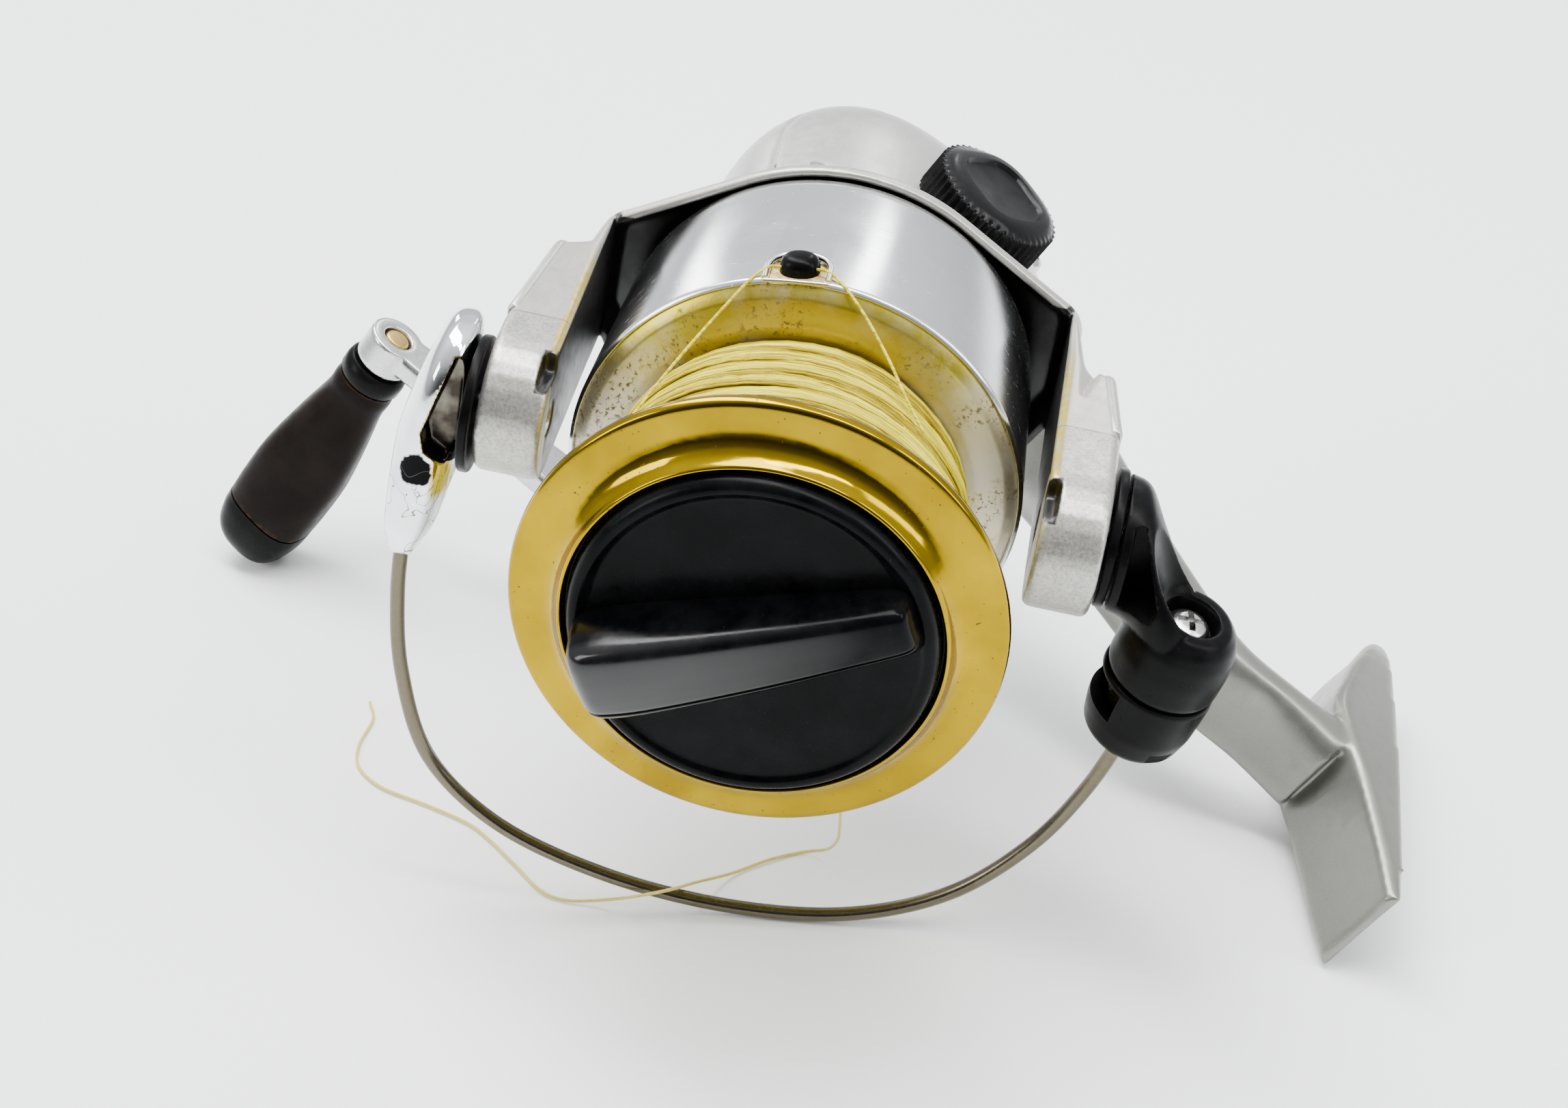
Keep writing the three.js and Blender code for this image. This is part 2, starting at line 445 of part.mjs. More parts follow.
function buildBody(reel) {
  const onHandle = (g) => alongX(g, HANDLE.y, HANDLE.z);
  const room = [
    onHandle(disc(16.2, -12.6, -4.4, 28)), onHandle(disc(12.2, -4.6, 14, 24)),
    block([-5.3, 86.4, -8.1], [9, 108.2, 8.6]),
    onHandle(disc(7.8, -16.9, -12.5)), onHandle(disc(7.8, 13.8, 17.4)), onHandle(disc(5.8, -24, 24)),
    alongX(disc(8.8, 3.1, 5.9, 24), OSCILLATION.y, OSCILLATION.z), disc(3.4, 78, 108, 16),
    alongX(disc(2.4, 5, 9, 12), OSCILLATION.y, OSCILLATION.z), disc(SPOOL_BORE, 50, 80),
    disc(12.7, 50, 61.3, 24), disc(9.8, 61, 66.4, 24),
  ];
  const screwHoles = COVER_SCREWS.flatMap(([y, z, x]) => [
    alongX(disc(1.6, -20, -5.5, 10), y, z), alongX(disc(2.8, -24, 1.9 - x, 12), y, z),
  ]);
  const nose = turned([[0, 55], [14.8, 55], [14.8, 64.5], [21.4, 64.8], [21.4, 72], [0, 72]], 36);
  const lugOutline = belt([...circle(LEVER.y, LEVER.z, 2, 12), ...circle(LEVER.y, -6, 2.6, 12)]);
  const lugs = [LEVER.x - LEVER.half - 1.8, LEVER.x + LEVER.half + GAP].map((x) =>
    slabX(lugOutline, x, x + 1.5));
  const lugHole = alongX(disc(1.1, LEVER.x - 5, LEVER.x + 5, 10), LEVER.y, LEVER.z);
  const rightOf = block([BODY_SPLIT + GAP / 2, 70, -40], [40, 120, 60]);
  const leftOf = block([-40, 70, -40], [BODY_SPLIT - GAP / 2, 120, 60]);
  const casting = join(common(pod(), rightOf), nose, stem(), foot(), ...lugs);
  piece(reel, "body_housing", cut(casting, ...room, ...screwHoles, lugHole), silverPaint);
  const castingRoom = [stem(GAP), disc(21.8, 60, 72 + GAP, 36)];
  piece(reel, "side_cover", cut(common(pod(), leftOf), ...room, ...screwHoles, ...castingRoom), silverPaint);
  COVER_SCREWS.forEach(([y, z, x], i) => {
    const screw = turned([[0, -x], [2.5, -x], [2.5, 1.6 - x], [1.3, 1.6 - x], [1.3, -6], [0, -6]], 12);
    piece(reel, `cover_screw_${i + 1}`, alongX(screw, y, z), steel);
  });
  piece(reel, "pinion_bearing", ring(SPOOL_BORE, 9.5, 62, 66), steel);
  piece(reel, "anti_reverse_clutch", ring(6.2, 12.4, 55.3, 61, 24), steel);
  piece(reel, "handle_bearing_left", onHandle(ring(3.3, 7.5, -16.6, -13)), steel);
  piece(reel, "handle_bearing_right", onHandle(ring(3.3, 7.5, 14.1, 17.1)), steel);
  piece(reel, "guide_rod", disc(1, 86.8, 107.9, 12).translate(0, 0, -5.4), steel);
  const lever = slabX(belt([...circle(LEVER.y, LEVER.z, 1.7, 12), ...circle(LEVER.y + 9, -16.6, 1.2, 8)]),
    LEVER.x - LEVER.half, LEVER.x + LEVER.half);
  const trunnions = alongX(disc(0.8, LEVER.x - 3.8, LEVER.x + 3.8, 10), LEVER.y, LEVER.z);
  piece(reel, "anti_reverse_lever", join(lever, trunnions), blackPlastic);
}

// ---------------------------------------------------------------- handle and gears
function buildHandle(reel) {
  const onHandle = (g) => alongX(g, HANDLE.y, HANDLE.z);
  const flat = (outline, low, high) => slabX(outline, low, high).translate(0, HANDLE.y, HANDLE.z);
  const faceTeeth = Array.from({ length: 20 }, (_, i) => block([GEAR_X.web - 0.2, 11.2, -0.55],
    [GEAR_X.tip, 14.8, 0.55]).rotateX((2 * Math.PI * i) / 20).translate(0, HANDLE.y, HANDLE.z));
  const wheel = onHandle(disc(15, GEAR_X.back, GEAR_X.web, 36));
  const hub = onHandle(disc(4.6, -12.2, 13.2));
  const small = flat(toothed(11, 4.6, 5.1), 3.6, 5.4);
  piece(reel, "drive_gear", cut(join(wheel, hub, small, ...faceTeeth), onHandle(disc(3.2, -14, 15))), brass);
  piece(reel, "drive_shaft", onHandle(disc(2.9, -16.9, 28, 16)), steel);
  const knurl = 26;
  const cap = join(flat(toothed(knurl, 9.5, 9.9), -26.6, -20.8),
    onHandle(turned([
      [0, -27.4], [7.6, -27.4], [9.3, -26.6], [9.3, -20.4], [5.2, -20], [5.2, -17.4], [0, -17.4],
    ], ROUND)));
  piece(reel, "screw_cap", cut(cap, onHandle(disc(6.6, -30, -26.8, 24))), blackPlastic);
  const reach = [CRANK_END.y - HANDLE.y, CRANK_END.z - HANDLE.z];
  const arm = flat(belt([...circle(0, 0, 6), ...circle(...reach, 3.6, 16)]), CRANK_X - 2, CRANK_X + 2);
  const shank = onHandle(disc(5.2, 18.4, CRANK_X - 1));
  const boss = alongX(disc(4.4, CRANK_X - 2, CRANK_X + 3.4), CRANK_END.y, CRANK_END.z);
  const rivetHole = alongX(disc(2.3, 40, 80, 12), CRANK_END.y, CRANK_END.z);
  const shaftHole = onHandle(disc(3.2, 15, 28.4, 16));
  piece(reel, "crank_arm", cut(join(arm, shank, boss), shaftHole, rivetHole), silverPaint);
  piece(reel, "knob_rivet", alongX(disc(2, CRANK_X - 1.8, 96, 12), CRANK_END.y, CRANK_END.z), brass);
}

function buildKnob(knob) {
  const at = (x, hy, hz, power = 2.4) => oval([x, 0, 0], AY, AZ, hy, hz, power, 20);
  const bore = alongX(disc(2.3, 50, 96.4, 12));
  const grip = loft([
    at(64.4, 5, 5), at(68, 4.7, 4.9), at(76, 5.2, 6.1), at(86, 5.8, 7.2), at(95.4, 6, 7.2),
  ]);
  piece(knob, "knob_collar", cut(loft([at(60.8, 4.9, 4.9, 2), at(64.1, 5.2, 5.2, 2)]), bore), blackPlastic);
  piece(knob, "crank_knob", cut(grip, bore), blackPlastic);
  const tip = [at(95.7, 6, 7.2), at(100, 5.6, 6.6), at(KNOB_TIP_X - 1, 4.4, 5), at(KNOB_TIP_X, 2.8, 3.2)];
  piece(knob, "knob_end_cap", cut(loft(tip), bore), blackGloss);
}

function buildOscillation(reel) {
  const { y, z } = OSCILLATION;
  const wheel = slabX(toothed(16, 7.3, 7.9), 3.6, 5.4).translate(0, y, z);
  const axle = alongX(disc(2, 5, 8.6, 12), y, z);
  const crankPin = alongX(disc(1, 3.1, 4, 10), y + 5, z);
  piece(reel, "oscillation_gear", join(wheel, axle, crankPin), brass);
}

// ---------------------------------------------------------------- loose end of the line
// Route of the line's loose end in the part's upright axes, from the spool's axis: it drops off the winding,
// crosses over the bail wire in a low hump and lies on the ground. ON marks the height of the ground.
const ON = "ground";
const TAIL_ROUTE = [
  [9, 12, -24], [9, 12.2, -30], [8.8, 14, -38], [8.2, 18, -46.5], [7, 24, -54], [4.9, 28.4, -59.2],
  [1.6, 29.6, ON], [-2.6, 27.4, ON], [-7.6, 23.4, -60.9], [-11.6, 18.4, -58.8], [-14.9, 13.6, -56.7],
  [-19.5, 13.4, -58.2], [-24.3, 14.6, -60.4], [-29, 14.6, ON], [-32.4, 15.6, ON], [-37.9, 21.1, ON],
  [-42.5, 25.8, ON], [-46.1, 28.8, ON], [-53, 32.1, ON], [-61.1, 35.5, ON], [-65.2, 39.6, ON],
  [-66.4, 44.3, ON], [-66, 51.2, ON], [-67.5, 54.9, ON],
];

// ---------------------------------------------------------------- assembly
const part = new THREE.Group();
const reel = new THREE.Group();
reel.rotation.y = radians(REEL_ROLL);
part.add(reel);
const rotor = new THREE.Group();
rotor.rotation.y = radians(ROTOR_TURN);
reel.add(rotor);
const knob = new THREE.Group();
knob.position.set(0, CRANK_END.y, CRANK_END.z);
reel.add(knob);

buildBody(reel);
buildSpool(reel);
buildShaft(reel);
buildDragKnob(reel);
buildRotor(rotor);
buildBail(rotor, rotor);
buildHandle(reel);
buildKnob(knob);
buildOscillation(reel);

const box = new THREE.Box3().setFromObject(part, true);
const ground = box.min.z;
const tail = TAIL_ROUTE.map(([x, y, z]) => [x, y, z === ON ? ground + LINE_RADIUS + 0.2 : z]);
piece(part, "line_tail", tube(tail, LINE_RADIUS, 60, 8), braid);
for (const child of part.children)
  child.position.add(new THREE.Vector3(-(box.min.x + box.max.x) / 2, -(box.min.y + box.max.y) / 2, -ground));

export default part;
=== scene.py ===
"""Looks of the spinning reel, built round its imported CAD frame.

Shapes are made in millimetres in the reel's own axes (X to the handle, Y to the rear along the spool's axis,
Z to the foot) or in the rotor's (b across the arms, y, and s from one bail pivot to the other), and are then
moved into the frame.
"""

import json
import random
from math import copysign, cos, exp, hypot, radians, sin, pi as PI

import bmesh
import bpy
import numpy as np
from mathutils import Matrix, Vector


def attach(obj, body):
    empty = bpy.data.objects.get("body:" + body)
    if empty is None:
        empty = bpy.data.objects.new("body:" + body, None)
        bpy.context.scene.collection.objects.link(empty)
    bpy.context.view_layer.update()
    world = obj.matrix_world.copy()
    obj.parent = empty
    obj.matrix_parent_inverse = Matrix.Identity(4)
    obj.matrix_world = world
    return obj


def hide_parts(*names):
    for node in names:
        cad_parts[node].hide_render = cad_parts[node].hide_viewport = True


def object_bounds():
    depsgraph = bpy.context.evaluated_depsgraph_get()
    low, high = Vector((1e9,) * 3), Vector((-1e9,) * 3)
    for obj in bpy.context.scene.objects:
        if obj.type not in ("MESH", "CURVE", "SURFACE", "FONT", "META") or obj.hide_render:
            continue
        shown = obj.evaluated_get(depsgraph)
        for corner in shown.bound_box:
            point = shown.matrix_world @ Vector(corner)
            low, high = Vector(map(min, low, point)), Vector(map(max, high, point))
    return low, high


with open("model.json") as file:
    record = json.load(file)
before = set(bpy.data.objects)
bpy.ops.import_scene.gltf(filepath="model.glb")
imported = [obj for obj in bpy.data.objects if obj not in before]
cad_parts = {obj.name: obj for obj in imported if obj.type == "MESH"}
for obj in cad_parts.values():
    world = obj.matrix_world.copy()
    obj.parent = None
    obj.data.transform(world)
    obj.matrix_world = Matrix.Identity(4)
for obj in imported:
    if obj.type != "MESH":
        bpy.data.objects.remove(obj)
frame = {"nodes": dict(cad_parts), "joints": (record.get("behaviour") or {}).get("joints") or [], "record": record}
cad_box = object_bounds()
RNG = random.Random(11)
JOINTS = {j["name"]: j for j in frame["joints"]}
MM = 0.001

# ---------------------------------------------------------------- axes
ROLL = radians(124.8)
TURN = radians(26)
REEL_X = Vector((cos(ROLL), 0, -sin(ROLL)))
REEL_Z = Vector((sin(ROLL), 0, cos(ROLL)))
UP_Y = Vector((0, 1, 0))
ORIGIN = Vector(JOINTS["rotor_spin"]["pos_m"]) - 0.060 * UP_Y  # spool's axis, in the plane of its lip


def axes(x, y, z, origin):
    m = Matrix((x, y, z)).transposed().to_4x4()
    return Matrix.Translation(origin) @ m @ Matrix.Scale(MM, 4)


REEL = axes(REEL_X, UP_Y, REEL_Z, ORIGIN)
ROTOR = axes(
    cos(TURN) * REEL_X + sin(TURN) * REEL_Z,
    UP_Y,
    -sin(TURN) * REEL_X + cos(TURN) * REEL_Z,
    ORIGIN,
)
ROW = axes(Vector((1, 0, 0)), UP_Y, Vector((0, 0, 1)), ORIGIN)

# ---------------------------------------------------------------- dimensions shared with the part
SKIRT_REAR_R, SKIRT_REAR = 28.4, 60.6
ARM_IN, ARM_OUT, ROTOR_REAR = 31.5, 40.0, 69.5
ROLLER_TIP, BAIL_TIP = 20.5, 25.0  # front ends of the two arms
ROLLER_BLOCK, BAIL_BLOCK = 45.5, 51.0  # where their thick part stops
ARM_HALF = 9.5
PIVOT_B, PIVOT_Y = -7.0, 22.5
HANDLE_Y, HANDLE_Z = 81.5, 8.0
CRANK_X, CRANK_Y, CRANK_Z = 57.0, 91.0, -46.0
CLIP = radians(214.3)
ROLLER_CENTRE = Vector((1.5, 16.3, 52.2))
ROLLER_DIRECTION = Vector((0.981, 0.102, -0.18)).normalized()


# ---------------------------------------------------------------- geometry helpers
def rounded(points, radius, steps=3):
    """Outline with its corners rounded off."""
    out, n = [], len(points)
    for i in range(n):
        a, b, c = (Vector(points[(i + k) % n]) for k in (-1, 0, 1))
        d1, d2 = a - b, c - b
        t = min(radius, 0.45 * d1.length, 0.45 * d2.length)
        if b.x < 1e-6 or t < 1e-6 or abs(d1.normalized().dot(d2.normalized()) + 1) < 1e-4:
            out.append(b)
            continue
        p, q = b + d1.normalized() * t, b + d2.normalized() * t
        for k in range(steps + 1):
            s = k / steps
            out.append((1 - s) ** 2 * p + 2 * s * (1 - s) * b + s * s * q)
    return out


def lathe(profile, sides=160, warp=None):
    """Closed outline of (radius, y) turned about Y."""
    verts, rows, faces = [], [], []
    for r, y in profile:
        if r < 1e-6:
            rows.append([len(verts)] * sides)
            verts.append((0, y, 0))
            continue
        rows.append(list(range(len(verts), len(verts) + sides)))
        for i in range(sides):
            t = 2 * PI * i / sides
            q = warp(r, y, t) if warp else r
            verts.append((q * cos(t), y, q * sin(t)))
    for a, b in zip(rows, rows[1:] + rows[:1]):
        for j in range(sides):
            k = (j + 1) % sides
            f = list(dict.fromkeys((a[j], a[k], b[k], b[j])))
            if len(f) > 2:
                faces.append(f)
    return verts, faces


def turned(points, sides, radius, steps=3):
    """Outline with rounded corners turned about Y."""
    return lathe(rounded(points, radius, steps), sides)


def loft(rings):
    n = len(rings[0])
    verts = [tuple(p) for r in rings for p in r]
    faces = [list(range(n))[::-1], list(range((len(rings) - 1) * n, len(rings) * n))]
    for i in range(len(rings) - 1):
        for j in range(n):
            k = (j + 1) % n
            faces.append([i * n + j, i * n + k, (i + 1) * n + k, (i + 1) * n + j])
    return verts, faces


def catmull(points, per=8):
    """Centripetal curve through the points, as the part's cords and wires follow."""
    p = [Vector(q) for q in points]
    p = [2 * p[0] - p[1]] + p + [2 * p[-1] - p[-2]]
    out = []
    for i in range(1, len(p) - 2):
        q = p[i - 1:i + 3]
        d = [max((q[k + 1] - q[k]).length ** 0.5, 1e-4) for k in range(3)]
        t1 = (q[1] - q[0]) / d[0] - (q[2] - q[0]) / (d[0] + d[1]) + (q[2] - q[1]) / d[1]
        t2 = (q[2] - q[1]) / d[1] - (q[3] - q[1]) / (d[1] + d[2]) + (q[3] - q[2]) / d[2]
        t1, t2 = t1 * d[1], t2 * d[1]
        for k in range(per):
            s = k / per
            out.append(
                q[1] * (2 * s ** 3 - 3 * s * s + 1) + t1 * (s ** 3 - 2 * s * s + s)
                + q[2] * (3 * s * s - 2 * s ** 3) + t2 * (s ** 3 - s * s)
            )
    return out + [p[-2]]


def blended(rows, per=5):
    """More stations between the given rows of numbers, on a smooth curve."""
    r = [np.array(q, float) for q in rows]
    r = [2 * r[0] - r[1]] + r + [2 * r[-1] - r[-2]]
    out = []
    for i in range(1, len(r) - 2):
        a, b, c, d = r[i - 1:i + 3]
        for k in range(per):
            s = k / per
            out.append(0.5 * (2 * b + (c - a) * s + (2 * a - 5 * b + 4 * c - d) * s * s
                              + (3 * b - a - 3 * c + d) * s ** 3))
    return out + [r[-2]]


def hull_ring(circles, inset=0.0, n=72):
    """Outline stretched round circles (u, v, radius), its points ordered by their normals."""
    out = []
    for i in range(n):
        t = 2 * PI * (i + 0.5) / n
        c, s = cos(t), sin(t)
        u, v, r = max(circles, key=lambda q: q[0] * c + q[1] * s + q[2])
        r = max(r - inset, 0.02)
        out.append((u + r * c, v + r * s))
    return out


def slab(circles, profile, put, n=72):
    """Slab of that outline: profile is (place along its thickness, inset)."""
    return loft([[put(u, v, w) for u, v in hull_ring(circles, inset, n)] for w, inset in profile])


def edged(low, high, r=0.6):
    """Profile of a slab whose two edges are rounded."""
    arc = [(r * (1 - cos(a)), r * (1 - sin(a))) for a in (0, PI / 6, PI / 3, PI / 2)]
    return [(low + a, b) for a, b in arc] + [(high - a, b) for a, b in arc[::-1]]


def oval(centre, u, v, hu, hv, power=2.0, n=48):
    out = []
    for i in range(n):
        t = 2 * PI * (i + 0.5) / n
        c, s = cos(t), sin(t)
        cu = copysign(abs(c) ** (2 / power), c)
        sv = copysign(abs(s) ** (2 / power), s)
        out.append(Vector(centre) + Vector(u) * hu * cu + Vector(v) * hv * sv)
    return out


def tube(path, radius, sides=12, twist=0.0, shape=1.0):
    """Tube along a path; a flattened tube has shape under 1."""
    path = [Vector(p) for p in path]
    t0 = (path[1] - path[0]).normalized()
    u = t0.orthogonal().normalized()
    rings = []
    for i, p in enumerate(path):
        t = (path[min(i + 1, len(path) - 1)] - path[max(i - 1, 0)]).normalized()
        u = (u - t * u.dot(t)).normalized()
        v = t.cross(u)
        r = radius(i / (len(path) - 1)) if callable(radius) else radius
        rings.append([
            p + r * (cos(a) * u + shape * sin(a) * v)
            for a in (2 * PI * k / sides + twist * i for k in range(sides))
        ])
    return loft(rings)


AX = (1, 0, 0)
AY = (0, 1, 0)
AZ = (0, 0, 1)


def along_x(made, y=0.0, z=0.0):
    verts, faces = made
    return [(q[1], y - q[0], z + q[2]) for q in verts], faces


def along_z(made, x=0.0, y=0.0, flip=1):
    verts, faces = made
    return [(x + q[0], y - q[2], flip * q[1]) for q in verts], faces


def on_roller(made):
    turn = Vector(AY).rotation_difference(ROLLER_DIRECTION).to_matrix()
    verts, faces = made
    return [tuple(turn @ Vector(q) + ROLLER_CENTRE) for q in verts], faces


def at_clip(made):
    """From (out from the axis, y, round the axis) at the line clip to the reel's axes."""
    c, s = cos(CLIP), sin(CLIP)
    verts, faces = made
    return [(q[0] * c - q[2] * s, q[1], q[0] * s + q[2] * c) for q in verts], faces


def box(low, high):
    (a, b, c), (d, e, f) = low, high
    verts = [(x, y, z) for x in (a, d) for y in (b, e) for z in (c, f)]
    faces = [(0, 1, 3, 2), (4, 6, 7, 5), (0, 4, 5, 1), (2, 3, 7, 6), (0, 2, 6, 4), (1, 5, 7, 3)]
    return verts, [list(q) for q in faces]


def merged(*parts):
    verts, faces = [], []
    for v, f in parts:
        faces += [[i + len(verts) for i in q] for q in f]
        verts += [tuple(q) for q in v]
    return verts, faces


def linked(name, data):
    """New object in the scene."""
    ob = bpy.data.objects.new(name, data)
    bpy.context.scene.collection.objects.link(ob)
    return ob


def mesh_object(name, made):
    me = bpy.data.meshes.new(name)
    me.from_pydata([tuple(v) for v in made[0]], [], made[1])
    bm = bmesh.new()
    bm.from_mesh(me)
    bmesh.ops.recalc_face_normals(bm, faces=bm.faces)
    bm.to_mesh(me)
    bm.free()
    return linked(name, me)


def applied(ob):
    """Makes the object's modifiers part of its mesh."""
    graph = bpy.context.evaluated_depsgraph_get()
    me = bpy.data.meshes.new_from_object(ob.evaluated_get(graph))
    ob.modifiers.clear()
    old, ob.data = ob.data, me
    bpy.data.meshes.remove(old)
    return ob


def boolean(ob, made, operation="DIFFERENCE"):
    tool = mesh_object("tool", made)
    m = ob.modifiers.new("b", "BOOLEAN")
    m.operation, m.object, m.solver = operation, tool, "EXACT"
    applied(ob)
    bpy.data.objects.remove(tool)
    return ob


def remeshed(ob, voxel, smooth=4):
    m = ob.modifiers.new("r", "REMESH")
    m.mode, m.voxel_size = "VOXEL", voxel
    s = ob.modifiers.new("s", "SMOOTH")
    s.factor, s.iterations = 0.5, smooth
    return applied(ob)


def edge_mask(me):
    """How far each point stands out from its neighbours, from 0 to 1: the mesh's worn edges."""
    n = len(me.vertices)
    co, no = np.zeros(n * 3, np.float32), np.zeros(n * 3, np.float32)
    me.vertices.foreach_get("co", co)
    me.vertices.foreach_get("normal", no)
    co, no = co.reshape(-1, 3), no.reshape(-1, 3)
    e = np.zeros(len(me.edges) * 2, np.int32)
    me.edges.foreach_get("vertices", e)
    e = e.reshape(-1, 2)
    a, b = np.concatenate([e[:, 0], e[:, 1]]), np.concatenate([e[:, 1], e[:, 0]])
    count = np.maximum(np.bincount(a, minlength=n), 1)
    out = np.zeros(n)
    gap = co[a] - co[b]
    length = np.linalg.norm(gap, axis=1) + 1e-9
    np.add.at(out, a, (gap * no[a]).sum(1) / length)
    out = np.clip(out / count * 2.2, 0, 1)
    for _ in range(2):
        total = np.bincount(a, weights=out[b], minlength=n)
        out = 0.5 * out + 0.5 * total / count
    return out.astype(np.float32)


def place(ob, body, material, slot, stands_for=(), matrix=REEL, sharp=40, inside=None):
    """Puts a piece into the frame on its body, with its millimetre coordinates kept for its material."""
    me = ob.data
    co = np.zeros(len(me.vertices) * 3, np.float32)
    me.vertices.foreach_get("co", co)
    within = inside(co.reshape(-1, 3)) if inside else np.zeros(len(me.vertices), np.float32)
    for name, kind, prop, data in (
        ("mm", "FLOAT_VECTOR", "vector", co),
        ("edge", "FLOAT", "value", edge_mask(me)),
        ("inside", "FLOAT", "value", within),
    ):
        me.attributes.new(name, kind, "POINT").data.foreach_set(prop, data)
    me.shade_smooth()
    me.set_sharp_from_angle(angle=radians(sharp))
    me.transform(matrix)
    me.materials.clear()
    me.materials.append(material)
    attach(ob, body)
    if stands_for:
        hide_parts(*stands_for)
    return ob


def build(name, made, *args, **kw):
    return place(mesh_object(name, made), *args, **kw)


# ---------------------------------------------------------------- materials
class Paint:
    """Principled material whose nodes are made in a few words. Uniform values go on the shader itself."""

    def __init__(self, name, cad=False, **uniform):
        self.m = bpy.data.materials.new(name)
        self.m.use_nodes = True
        self.t = self.m.node_tree
        self.b = next(n for n in self.t.nodes if n.type == "BSDF_PRINCIPLED")
        for k, v in uniform.items():
            self.b.inputs[k.replace("_", " ")].default_value = v
        if cad:
            scaled = self.new("ShaderNodeVectorMath", operation="SCALE")
            self.join(self.new("ShaderNodeTexCoord").outputs["Object"], scaled.inputs[0])
            scaled.inputs["Scale"].default_value = 1000
            self.mm = scaled.outputs[0]
        else:
            self.mm = self.attribute("mm", "Vector")

    def new(self, kind, **props):
        n = self.t.nodes.new(kind)
        for k, v in props.items():
            setattr(n, k, v)
        return n

    def join(self, a, b):
        self.t.links.new(a, b)

    def attribute(self, name, out="Fac"):
        return self.new("ShaderNodeAttribute", attribute_name=name).outputs[out]

    def put(self, socket, value):
        if isinstance(value, bpy.types.NodeSocket):
            self.join(value, socket)
        else:
            socket.default_value = value

    def vector(self, operation, value, out=0):
        """The place in millimetres worked on by a fixed vector."""
        n = self.new("ShaderNodeVectorMath", operation=operation)
        self.join(self.mm, n.inputs[0])
        n.inputs[1].default_value = value
        return n.outputs[out]

    def stretched(self, x, y, z):
        return self.vector("MULTIPLY", (x, y, z))

    def noise(self, scale, detail=3.0, rough=0.55, vector=None, warp=0.0):
        n = self.new("ShaderNodeTexNoise")
        self.join(vector or self.mm, n.inputs["Vector"])
        for k, v in (("Scale", scale), ("Detail", detail), ("Roughness", rough), ("Distortion", warp)):
            n.inputs[k].default_value = v
        return n.outputs["Fac"]

    def cells(self, scale):
        """Distance from the nearest of a scatter of points."""
        n = self.new("ShaderNodeTexVoronoi")
        self.join(self.mm, n.inputs["Vector"])
        n.inputs["Scale"].default_value = scale
        return n.outputs["Distance"]

    def step(self, value, low, high, a=0.0, b=1.0):
        n = self.new("ShaderNodeMapRange")
        self.put(n.inputs["Value"], value)
        for k, v in (("From Min", low), ("From Max", high), ("To Min", a), ("To Max", b)):
            n.inputs[k].default_value = v
        return n.outputs["Result"]

    def math(self, operation, a, b=0.0):
        n = self.new("ShaderNodeMath", operation=operation)
        self.put(n.inputs[0], a)
        self.put(n.inputs[1], b)
        return n.outputs[0]

    def times(self, a, b):
        return self.math("MULTIPLY", a, b)

    def part(self, axis):
        n = self.new("ShaderNodeSeparateXYZ")
        self.join(self.mm, n.inputs[0])
        return n.outputs[axis]

    def toward(self, direction):
        return self.vector("DOT_PRODUCT", direction, "Value")

    def band(self, value, low, high, soft):
        """1 between low and high, and 0 outside them."""
        return self.times(self.step(value, low - soft, low), self.step(value, high + soft, high))

    def near(self, point, low, high):
        """1 close to a point, given in the piece's own millimetres, and 0 away from it."""
        return self.step(self.vector("DISTANCE", point, "Value"), low, high, 1.0, 0.0)

    def mixed(self, data, socket, amount, a, b):
        n = self.new("ShaderNodeMix", data_type=data)
        self.put(n.inputs["Factor"], amount)
        for k, v in (("A", a), ("B", b)):
            self.put(next(i for i in n.inputs if i.name == k and i.type == socket), v)
        return next(o for o in n.outputs if o.type == socket)

    def mix(self, amount, a, b):
        """Mixes two colours."""
        a, b = (v if isinstance(v, bpy.types.NodeSocket) else (*v, 1.0) for v in (a, b))
        return self.mixed("RGBA", "RGBA", amount, a, b)

    def blend(self, amount, a, b):
        """Mixes two values."""
        return self.mixed("FLOAT", "VALUE", amount, a, b)

    def finish(self, color=None, rough=None, metal=None, height=None, strength=0.2, distance=0.1):
        for k, v in (("Base Color", color), ("Roughness", rough), ("Metallic", metal)):
            if v is not None:
                self.put(self.b.inputs[k], v)
        if height is not None:
            n = self.new("ShaderNodeBump")
            n.inputs["Strength"].default_value = strength
            n.inputs["Distance"].default_value = distance * MM
            self.join(height, n.inputs["Height"])
            self.join(n.outputs["Normal"], self.b.inputs["Normal"])
        return self.m


def shaded(color, k, plus=0.0):
    return tuple(c * k + plus for c in color)


def gold_mirror():
    p = Paint("gold_mirror", Metallic=1.0)
    haze = p.noise(0.09, 4)
    color = p.mix(p.step(haze, 0.35, 0.7), (0.34, 0.225, 0.0008), (0.25, 0.16, 0.0008))
    color = p.mix(p.step(p.noise(0.055, 3), 0.54, 0.70, 0, 0.55), color, (0.15, 0.09, 0.0005))
    spots = p.times(p.step(p.noise(1.7, 2, 0.5), 0.68, 0.74), p.step(p.noise(0.12, 2), 0.45, 0.57))
    pits = p.step(p.cells(0.8), 0.10, 0.05)
    dark = p.math("MAXIMUM", spots, p.times(pits, p.step(p.noise(0.2, 1), 0.55, 0.6)))
    color = p.mix(dark, color, (0.10, 0.055, 0.012))
    rough = p.blend(dark, p.step(haze, 0.3, 0.8, 0.08, 0.18), 0.6)
    return p.finish(color, rough, height=p.noise(0.22, 2), strength=0.10, distance=0.6)


